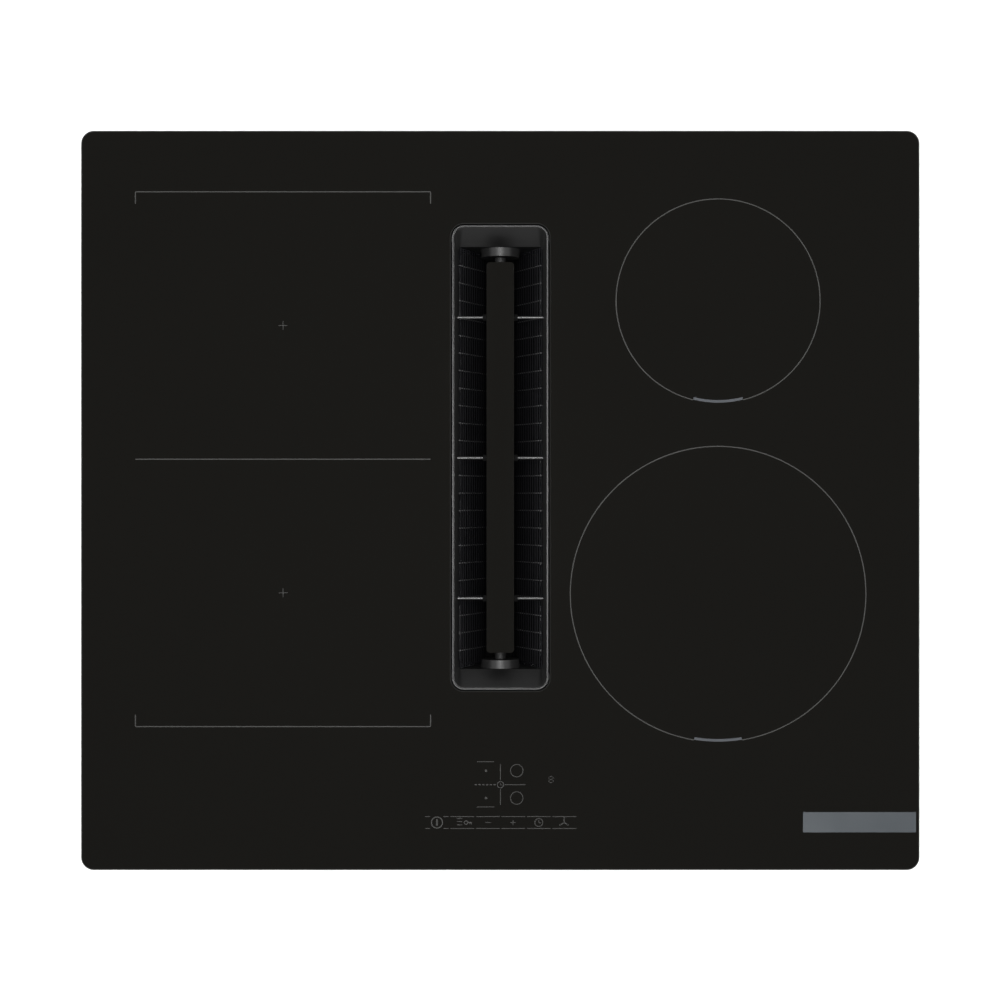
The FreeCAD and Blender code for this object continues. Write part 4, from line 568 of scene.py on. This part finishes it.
class Shape:
    """A mesh in the making, in millimetres, with the operators that the pieces use.

    Args:
        low: The height of the underside of its flat blocks and rings.
        high: The height of their top.
    """

    def __init__(self, low: float = 0.0, high: float = 0.0) -> None:
        """Starts with an empty mesh."""
        self.mesh = bmesh.new()
        self.low, self.high = low, high

    def bar(self, centre: Point, size: Point, angle: float = 0.0) -> None:
        """Adds a flat block.

        Args:
            centre: Its middle in plan.
            size: Its width and depth.
            angle: How far it turns about Z, in degrees.
        """
        place = Matrix.Translation((*centre, (self.low + self.high) / 2))
        turn = Matrix.Rotation(math.radians(angle), 4, "Z")
        stretch = Matrix.Diagonal((*size, self.high - self.low, 1.0))
        bmesh.ops.create_cube(self.mesh, size=1.0, matrix=place @ turn @ stretch)

    def line(self, start: Point, end: Point, width: float) -> None:
        """Adds a straight printed line from one point to another.

        Args:
            start: Where it starts.
            end: Where it ends.
            width: Its width.
        """
        along = Vector(end) - Vector(start)
        middle = (Vector(end) + Vector(start)) / 2
        self.bar(tuple(middle), (along.length, width), math.degrees(math.atan2(along.y, along.x)))

    def arc(self, centre: Point, radius: float, width: float, start: float = 0.0,
            sweep: float = 360.0, steps: int = 96) -> None:
        """Adds a flat ring or a part of one, by spinning its section.

        Args:
            centre: The middle of the ring.
            radius: The radius of its middle line.
            width: Its width.
            start: The angle where it starts, in degrees from X.
            sweep: How far it goes round, in degrees.
            steps: How many pieces the sweep has.
        """
        whole = sweep >= 360.0
        turn = Matrix.Rotation(math.radians(start), 4, "Z")
        place = Matrix.Translation((*centre, 0.0)) @ turn
        inner, outer = radius - width / 2, radius + width / 2
        corners = ((inner, self.low), (outer, self.low), (outer, self.high), (inner, self.high))
        ends = [self.mesh.verts.new(place @ Vector((across, 0.0, height)))
                for across, height in corners]
        section = [self.mesh.edges.new(pair) for pair in zip(ends, ends[1:] + ends[:1])]
        if not whole:
            section.append(self.mesh.faces.new(ends))
        bmesh.ops.spin(self.mesh, geom=ends + section, cent=(*centre, 0.0), axis=(0.0, 0.0, 1.0),
                       angle=math.radians(sweep), steps=steps, use_merge=whole)

    def disc(self, centre: Point, radius: float, steps: int = 24) -> None:
        """Adds a round flat block.

        Args:
            centre: Its middle in plan.
            radius: Its radius.
            steps: How many sides it has.
        """
        place = Matrix.Translation((*centre, (self.low + self.high) / 2))
        bmesh.ops.create_cone(self.mesh, cap_ends=True, segments=steps, radius1=radius,
                              radius2=radius, depth=self.high - self.low, matrix=place)

    def finish(self, name: str, body: str, material: bpy.types.Material,
               smooth: bool = False) -> bpy.types.Object:
        """Turns the mesh into a finished piece of the scene, in metres.

        Args:
            name: The piece's name.
            body: The CAD body that it moves with.
            material: Its material.
            smooth: Whether its faces are shaded smooth.

        Returns:
            The new object.
        """
        bmesh.ops.remove_doubles(self.mesh, verts=self.mesh.verts, dist=WELD)
        bmesh.ops.recalc_face_normals(self.mesh, faces=self.mesh.faces)
        bmesh.ops.scale(self.mesh, vec=(MM, MM, MM), verts=self.mesh.verts)
        data = bpy.data.meshes.new(name)
        self.mesh.to_mesh(data)
        self.mesh.free()
        if smooth:
            data.shade_smooth()
        data.materials.append(material)
        piece = bpy.data.objects.new(name, data)
        bpy.context.scene.collection.objects.link(piece)
        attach(piece, body)
        LOG.info("built %s with %d faces", name, len(data.polygons))
        return piece


# ---- the cooktop's pieces

def moved(centre: Point, step: Point) -> Point:
    """Gives the point that lies a step away from another."""
    return centre[0] + step[0], centre[1] + step[1]


@dataclass(frozen=True)
class Sign:
    """A small sign of bars and a ring, drawn about its middle.

    Args:
        bars: The place and size of each bar.
        ring: The place, radius and width of the ring, or None.
        steps: How many pieces the ring has.
    """

    bars: tuple[tuple[Point, Point], ...]
    ring: tuple[Point, float, float] | None = None
    steps: int = 48

    def draw(self, marks: Shape, centre: Point) -> None:
        """Adds the sign to a print.

        Args:
            marks: The print.
            centre: Where the sign's middle goes.
        """
        for place, size in self.bars:
            marks.bar(moved(centre, place), size)
        if self.ring is not None:
            place, radius, width = self.ring
            marks.arc(moved(centre, place), radius, width, steps=self.steps)


CROSS = Sign((((0.0, 0.0), (6.2, 0.42)), ((0.0, -1.655), (0.42, 2.89)),
              ((0.0, 1.655), (0.42, 2.89))))
POWER = Sign((((0.0, 0.0), (1.2, 4.6)),), ((0.0, 0.0), 3.9, 0.8))
LOCK = Sign((((-2.9, -1.6), (3.6, 0.5)), ((-2.9, 0.65), (3.6, 0.5)), ((-2.9, 2.9), (3.6, 0.5)),
             ((4.5, 0.0), (2.6, 0.8)), ((4.4, -0.8), (0.6, 0.8)), ((5.5, -0.8), (0.6, 0.8))),
            ((1.65, 0.0), 1.25, 0.6), 24)
MINUS = Sign((((0.0, 0.0), (4.2, 0.45)),))
PLUS = Sign((((0.0, 0.0), (3.6, 0.45)), ((0.0, -1.0), (0.45, 1.55)), ((0.0, 1.0), (0.45, 1.55))))
CLOCK = Sign((((0.0, 0.84), (0.4, 1.68)), ((0.896, -0.2), (1.4, 0.4))), ((0.0, 0.0), 2.8, 0.5), 36)
TIMER = Sign((((0.0, 0.66), (0.4, 1.32)), ((0.704, -0.2), (1.1, 0.4))), ((0.0, 0.0), 2.2, 0.5), 36)
FIGURE = Sign((*(((0.0, level), (1.8, 0.5)) for level in (-2.1, 0.0, 2.1)),
               *(((side, level), (0.5, 1.2)) for side in (-1.45, 1.45) for level in (-1.05, 1.05))))


@dataclass
class ZoneMarks:
    """The thin printed lines that show where the pans stand.

    Args:
        surface: Height of the glass.
        film: Thickness of the print.
        line: Width of a thin line.
        band: Width of the short marks that show which zone is meant.
        left_edge: Left end of the joined zone on the left.
        right_edge: Right end of it.
        back_edge: Its back line.
        split_edge: The line between its halves.
        front_edge: Its front line.
        leg: Length of the short legs at its ends.
        crosses: The places of the centre crosses.
        rings: The round zones: middle, radius, and half the angle of its pointer in degrees.
        inset: How far a pointer's middle line lies inside its ring.
        ring_steps: How many pieces the arc of a ring has.
        pointer_steps: How many pieces the arc of a pointer has.
    """

    surface: float = 223.0
    film: float = 0.03
    line: float = 0.7
    band: float = 1.8
    left_edge: float = -257.5
    right_edge: float = -49.2
    back_edge: float = 217.8
    split_edge: float = 29.1
    front_edge: float = -159.6
    leg: float = 8.4
    crosses: tuple[Point, ...] = ((-153.3, 123.5), (-153.3, -65.2))
    rings: tuple[tuple[Point, float, float], ...] = (
        ((153.7, 140.8), 72.0, 14.2), ((153.7, -66.1), 104.3, 9.3))
    inset: float = 1.1
    ring_steps: int = 144
    pointer_steps: int = 24

    def build(self, paints: Paintbox) -> None:
        """Prints every zone.

        Args:
            paints: Where the print's material comes from.
        """
        thin = Shape(self.surface, self.surface + self.film)
        for edge, inward in ((self.back_edge, -1), (self.front_edge, 1)):
            tip = edge + inward * self.leg
            thin.line((self.left_edge, edge), (self.right_edge, edge), self.line)
            for side in (self.left_edge, self.right_edge):
                thin.line((side, edge + inward * self.line / 2), (side, tip), self.line)
        thin.line((self.left_edge, self.split_edge), (self.right_edge, self.split_edge), self.line)
        for centre in self.crosses:
            CROSS.draw(thin, centre)
        for centre, radius, mark in self.rings:
            thin.arc(centre, radius, self.line, FRONT + mark, 360 - 2 * mark, self.ring_steps)
        thin.finish("zone_lines", ROOT, paints.material(PRINT_GREY))
        thick = Shape(self.surface, self.surface + self.film)
        for centre, radius, mark in self.rings:
            thick.arc(centre, radius - self.inset, self.band, FRONT - mark, 2 * mark,
                      self.pointer_steps)
        thick.finish("zone_pointers", ROOT, paints.material(PRINT_BRIGHT))


@dataclass
class KeyMarks:
    """The touch keys and small signs printed along the front of the glass.

    Args:
        surface: Height of the glass.
        film: Thickness of the print.
        line: Width of a thin line.
        row: Middle of the row of keys.
        row_height: Distance between the lines above and below the row.
        keys: How far across each key's sign stands.
        stubs: Start and end of the short lines beside the first sign.
        starts: Where the lines of the other keys start.
        key_width: How long those lines are.
        blade: Length of a blade of the fan's sign.
        panel: Middle height of the small map of zones above the row.
        dashes: How many dashes the map's left line has.
        dash: Length of a dash.
        pitch: Distance from dash to dash.
        plate: Middle of the bare plate.
        plate_size: Its width and depth.
        plate_film: Its thickness.
    """

    surface: float = 223.0
    film: float = 0.03
    line: float = 0.5
    row: float = -227.3
    row_height: float = 8.4
    keys: tuple[float, ...] = (-44.7, -25.8, -8.7, 9.0, 27.2, 45.0)
    stubs: tuple[Point, ...] = ((-53.1, -49.6), (-40.1, -36.4))
    starts: tuple[float, ...] = (-35.1, -17.1, 0.9, 18.9, 36.9)
    key_width: float = 16.7
    blade: float = 3.2
    panel: float = -200.6
    dashes: int = 6
    dash: float = 1.5
    pitch: float = 2.65
    plate: Point = (253.5, -227.1)
    plate_size: Point = (79.7, 14.3)
    plate_film: float = 0.06

    def build(self, paints: Paintbox) -> None:
        """Prints the keys and the map, and lays the bare plate.

        Args:
            paints: Where the print's material comes from.
        """
        marks = Shape(self.surface, self.surface + self.film)
        self._key_lines(marks)
        self._map(marks)
        for sign, across in zip((POWER, LOCK, MINUS, PLUS, CLOCK), self.keys):
            sign.draw(marks, (across, self.row))
        self._fan(marks, (self.keys[-1], self.row))
        marks.finish("key_marks", ROOT, paints.material(PRINT_KEYS))
        plate = Shape(self.surface, self.surface + self.plate_film)
        plate.bar(self.plate, self.plate_size)
        plate.finish("bare_plate", ROOT, paints.material(PLATE_GREY))

    def _key_lines(self, marks: Shape) -> None:
        """Adds the lines above and below the six keys, which leave room for the first sign.

        Args:
            marks: The print that they go on.
        """
        spans = [*self.stubs, *((start, start + self.key_width) for start in self.starts)]
        for side in (-1, 1):
            level = self.row + side * self.row_height / 2
            for start, end in spans:
                marks.line((start, level), (end, level), self.line)

    def _map(self, marks: Shape) -> None:
        """Adds the small map of the zones above the keys, with a timer and a figure.

        Args:
            marks: The print that it goes on.
        """
        for level in (-184.4, -216.3):
            marks.line((-16.4, level), (-4.4, level), self.line)
        for level in (-190.7, -210.0):
            marks.disc((-10.1, level), 0.9)
            marks.arc((11.6, level), 4.4, self.line, steps=48)
        for bottom, top in ((-197.3, -186.0), (-214.9, -203.7)):
            marks.line((0.1, bottom), (0.1, top), self.line)
        TIMER.draw(marks, (0.1, self.panel))
        for index in range(self.dashes):
            start = -18.0 + index * self.pitch
            marks.line((start, self.panel), (start + self.dash, self.panel), 1.6 * self.line)
        marks.line((2.9, self.panel), (17.8, self.panel), self.line)
        FIGURE.draw(marks, (35.8, -197.0))

    def _fan(self, marks: Shape, centre: Point) -> None:
        """Adds the sign of a fan with three blades.

        Args:
            marks: The print that it goes on.
            centre: Its middle.
        """
        for degrees in (90, 212, 328):
            angle = math.radians(degrees)
            tip = moved(centre, (self.blade * math.cos(angle), self.blade * math.sin(angle)))
            marks.line(centre, tip, 0.8)
            marks.disc(tip, 0.6, 12)


@dataclass
class SlotTrim:
    """The thin ring round the slot, with a level face between two steep sides.

    Args:
        middle: The slot's middle.
        size: Its outer width and length.
        corner: Its outer corner radius.
        face: How wide its level face is.
        slant: How far each steep side reaches across.
        rise: How high each steep side is.
        seat: Height of its underside.
        top: Height of its level face.
        steps: How many pieces the arc of a corner has.
    """

    middle: Point = (-0.1, 30.25)
    size: Point = (68.2, 328.2)
    corner: float = 8.5
    face: float = 0.95
    slant: float = 0.28
    rise: float = 0.8
    seat: float = 221.5
    top: float = 223.0
    steps: int = 8

    def build(self, paints: Paintbox) -> None:
        """Makes the ring.

        Args:
            paints: Where the metal comes from.
        """
        ring = Shape()
        well = ring.mesh.faces.new([ring.mesh.verts.new((*spot, self.top - self.rise))
                                    for spot in self._outline()])
        for width, rise in ((self.slant, self.rise), (self.face, 0.0), (self.slant, -self.rise)):
            ring.mesh.normal_update()
            bmesh.ops.inset_region(ring.mesh, faces=[well], thickness=width, depth=rise,
                                   use_boundary=True, use_even_offset=True)
        bmesh.ops.delete(ring.mesh, geom=[well], context="FACES")
        sides = bmesh.ops.extrude_edge_only(ring.mesh, edges=self._open_edges(ring))["geom"]
        for spot in (item for item in sides if isinstance(item, bmesh.types.BMVert)):
            spot.co.z = self.seat
        bmesh.ops.bridge_loops(ring.mesh, edges=self._open_edges(ring))
        piece = ring.finish("trim_ring", FILTER, paints.material(TRIM_METAL))
        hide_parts("inlet_trim")

    def _outline(self) -> list[Point]:
        """Goes round the outer outline.

        Returns:
            Its points in order.
        """
        half_wide, half_long = self.size[0] / 2 - self.corner, self.size[1] / 2 - self.corner
        points = []
        for quarter, (side, end) in enumerate(((1, 1), (-1, 1), (-1, -1), (1, -1))):
            for step in range(self.steps + 1):
                angle = math.radians(90.0 * (quarter + step / self.steps))
                points.append((self.middle[0] + side * half_wide + self.corner * math.cos(angle),
                               self.middle[1] + end * half_long + self.corner * math.sin(angle)))
        return points

    def _open_edges(self, shape: Shape) -> list[bmesh.types.BMEdge]:
        """Gives the edges that only one face has."""
        return [line for line in shape.mesh.edges if line.is_boundary]


@dataclass
class FilterPanels:
    """The two slotted sheets of the grease filter, which slope down to the drip channel.

    Args:
        foot: How far a sheet's lower edge is from the middle.
        floor: Height of the lower edge.
        top: Height of the upper edge.
        reach: How far the upper edge is from the middle.
        front: Where the sheets start.
        back: Where they end.
        rows: How many long slots there are up the slope.
        bays: How many stretches the cross wires part a slot into.
        duty: Share of the slope that is metal.
        border: Width of the plain border.
        sheet: Thickness of the metal.
        wire: Radius of the cross wires.
        sink: How far the sheet lies above the lower face.
    """

    foot: float = 8.0
    floor: float = 163.0
    top: float = 208.4
    reach: float = 29.9
    front: float = -119.9
    back: float = 180.5
    rows: int = 14
    bays: int = 24
    duty: float = 0.36
    border: float = 0.5
    sheet: float = 0.2
    wire: float = 0.4
    sink: float = 0.25

    def build(self, paints: Paintbox) -> None:
        """Makes both sheets with their wires.

        Args:
            paints: Where the metal comes from.
        """
        for side, name in ((-1, "left"), (1, "right")):
            place = self._place(side)
            sheet = Shape(0.0, self.sheet)
            self._bars(sheet)
            bmesh.ops.transform(sheet.mesh, matrix=place, verts=sheet.mesh.verts)
            piece = sheet.finish("slotted_panel_" + name, FILTER, paints.material(PANEL_METAL))
            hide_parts("filter_panel_" + name)
            wires = Shape()
            self._wires(wires)
            bmesh.ops.transform(wires.mesh, matrix=place, verts=wires.mesh.verts)
            wires.finish("cross_wires_" + name, FILTER, paints.material(WIRE_METAL), smooth=True)

    def _slope(self) -> Vector:
        """Gives the run from the lower edge to the upper edge of the right sheet."""
        return Vector((self.reach - self.foot, 0.0, self.top - self.floor))

    def _bars(self, shape: Shape) -> None:
        """Shapes one flat sheet about the origin: its border and the bars between its slots.

        Args:
            shape: The mesh that they go in.
        """
        long = self.back - self.front
        high = self._slope().length
        for side in (-1, 1):
            shape.bar((side * (high - self.border) / 2, 0.0), (self.border, long))
            shape.bar((0.0, side * (long - self.border) / 2), (high - 2 * self.border, self.border))
        inner = high - 2 * self.border
        gap = inner * (1 - self.duty) / self.rows
        width = (inner - gap * self.rows) / (self.rows - 1)
        for index in range(self.rows - 1):
            middle = -inner / 2 + gap + width / 2 + index * (gap + width)
            shape.bar((middle, 0.0), (width, long - 2 * self.border))

    def _wires(self, shape: Shape) -> None:
        """Lays the thin wires across the slots, just behind the bars.

        Args:
            shape: The mesh that they go in.
        """
        long = self.back - self.front
        high = self._slope().length
        lie = Matrix.Rotation(math.radians(90.0), 4, "Y")
        for index in range(1, self.bays):
            place = Matrix.Translation((0.0, -long / 2 + index * long / self.bays, -self.wire / 2))
            bmesh.ops.create_cone(shape.mesh, cap_ends=True, segments=8, radius1=self.wire,
                                  radius2=self.wire, depth=high - self.border,
                                  matrix=place @ lie)

    def _place(self, side: int) -> Matrix:
        """Gives the placement of the left or right sheet.

        Args:
            side: -1 for the left sheet and 1 for the right one.

        Returns:
            The matrix that takes the flat sheet to its slope.
        """
        slope = self._slope()
        slope.x *= side
        along = Vector((0.0, side, 0.0))
        up = slope.normalized().cross(along)
        middle = Vector((side * self.foot, (self.front + self.back) / 2, self.floor))
        middle += slope / 2 + up * self.sink
        turn = Matrix((slope.normalized(), along, up)).transposed().to_4x4()
        return Matrix.Translation(middle) @ turn


class ConstructionModel:
    """The pieces of the construction model, which keep their shapes and get their finishes."""

    def dress(self, paints: Paintbox) -> None:
        """Gives each piece the finish of its material slot.

        Args:
            paints: Where the materials come from.
        """
        for row in frame["record"]["subparts"]:
            piece = frame["nodes"][row["node"]]
            finish = SLOT_FINISHES[row["material_slot"]]
            piece.data.materials.clear()
            piece.data.materials.append(paints.material(finish))
            LOG.info("dressed %s in %s", row["node"], finish.name)


# ---- studio

@dataclass
class Softbox:
    """One soft studio light.

    Args:
        name: The light's name.
        place: Where it hangs, in metres.
        size: Its width and height, in metres.
        power: Its power in watts.
        level: Whether it hangs level, and isn't turned to the cooktop.
    """

    name: str
    place: tuple[float, float, float]
    size: Point
    power: float
    level: bool = False


LIGHTS = (
    Softbox("light_left", (-1.7, 0.0, 1.5), (1.6, 2.2), 25.0),
    Softbox("light_right", (1.7, 0.0, 1.5), (1.6, 2.2), 25.0),
    Softbox("light_back", (0.0, 1.7, 1.5), (2.2, 1.6), 16.0),
    Softbox("light_front", (0.0, -1.7, 1.5), (2.2, 1.6), 21.5),
    Softbox("strip_left", (-0.044, 0.053, 1.47), (0.036, 0.63), 12.5, True),
    Softbox("strip_right", (0.044, 0.053, 1.47), (0.036, 0.63), 12.5, True),
)
SKY = ((0.0, 1.0), (0.15, 0.80), (0.30, 0.80), (0.62, 0.40), (0.85, 0.14), (0.95, 0.10))


@dataclass
class Studio:
    """The pale floor, the soft light round the cooktop and the camera above it.

    Args:
        camera_height: Height of the camera over the glass, in metres.
        glass_height: Height of the glass, in metres.
        view_width: Width of the picture at the glass, in metres.
        sensor: Width of the camera's sensor, in millimetres.
        nudge: How far the camera hangs off the middle, in metres.
        aim_height: Height of the point that the softboxes are turned to, in metres.
        floor_radius: Radius of the floor, in metres.
        floor_sides: How many sides the floor's outline has.
    """

    camera_height: float = 1.25
    glass_height: float = 0.223
    view_width: float = 0.7057
    sensor: float = 36.0
    nudge: Point = (-0.0002, 0.0003)
    aim_height: float = 0.1
    floor_radius: float = 1.1
    floor_sides: int = 128

    def build(self, paints: Paintbox) -> None:
        """Sets up everything round the cooktop.

        Args:
            paints: Where the floor's material comes from.
        """
        self._floor(paints)
        self._surround()
        for light in LIGHTS:
            self._hang(light)
        self._camera()
        bpy.context.scene.view_settings.view_transform = "Standard"

    def _floor(self, paints: Paintbox) -> None:
        """Lays a plain pale floor, as far as the softboxes light it white.

        Args:
            paints: Where its material comes from.
        """
        floor = bmesh.new()
        bmesh.ops.create_circle(floor, cap_ends=True, segments=self.floor_sides,
                                radius=self.floor_radius)
        data = bpy.data.meshes.new("floor")
        floor.to_mesh(data)
        floor.free()
        data.materials.append(paints.material(FLOOR_PAINT))
        piece = bpy.data.objects.new("floor", data)
        bpy.context.scene.collection.objects.link(piece)

    def _surround(self) -> None:
        """Lights the room white below the horizon, pale above it and dim overhead."""
        world = bpy.data.worlds.new("studio")
        world.use_nodes = True
        nodes = Nodes(world.node_tree)
        split = nodes.add("SeparateXYZ")
        nodes.link(nodes.add("TexCoord").outputs["Generated"], split.inputs[0])
        shade = nodes.add("ValToRGB")
        stops = shade.color_ramp.elements
        first, *between, last = SKY
        stops[0].position, stops[1].position = first[0], last[0]
        for position, _ in between:
            stops.new(position)
        for stop, (_, level) in zip(stops, SKY):
            stop.color = (level, level, level, 1.0)
        nodes.link(split.outputs[2], shade.inputs[0])
        nodes.link(shade.outputs[0], world.node_tree.nodes["Background"].inputs["Color"])
        bpy.context.scene.world = world

    def _hang(self, light: Softbox) -> None:
        """Hangs one softbox, and turns it to the cooktop unless it hangs level.

        Args:
            light: The softbox.
        """
        data = bpy.data.lights.new(light.name, "AREA")
        data.shape = "RECTANGLE"
        data.size, data.size_y = light.size
        data.energy = light.power
        lamp = bpy.data.objects.new(light.name, data)
        lamp.location = light.place
        if not light.level:
            aim = Vector((0.0, 0.0, self.aim_height)) - Vector(light.place)
            lamp.rotation_euler = aim.to_track_quat("-Z", "Y").to_euler()
        bpy.context.scene.collection.objects.link(lamp)

    def _camera(self) -> None:
        """Hangs the camera straight over the glass."""
        data = bpy.data.cameras.new("camera")
        data.sensor_width = self.sensor
        data.lens = self.sensor * self.camera_height / self.view_width
        camera = bpy.data.objects.new("camera", data)
        camera.location = (*self.nudge, self.glass_height + self.camera_height)
        bpy.context.scene.collection.objects.link(camera)
        bpy.context.scene.camera = camera


def main() -> None:
    """Builds the scene, piece by piece."""
    logging.basicConfig(level=logging.INFO, format="%(name)s: %(message)s")
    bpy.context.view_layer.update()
    paints = Paintbox(Effects())
    ConstructionModel().dress(paints)
    SlotTrim().build(paints)
    FilterPanels().build(paints)
    ZoneMarks().build(paints)
    KeyMarks().build(paints)
    Studio().build(paints)


if __name__ == "__main__":
    main()
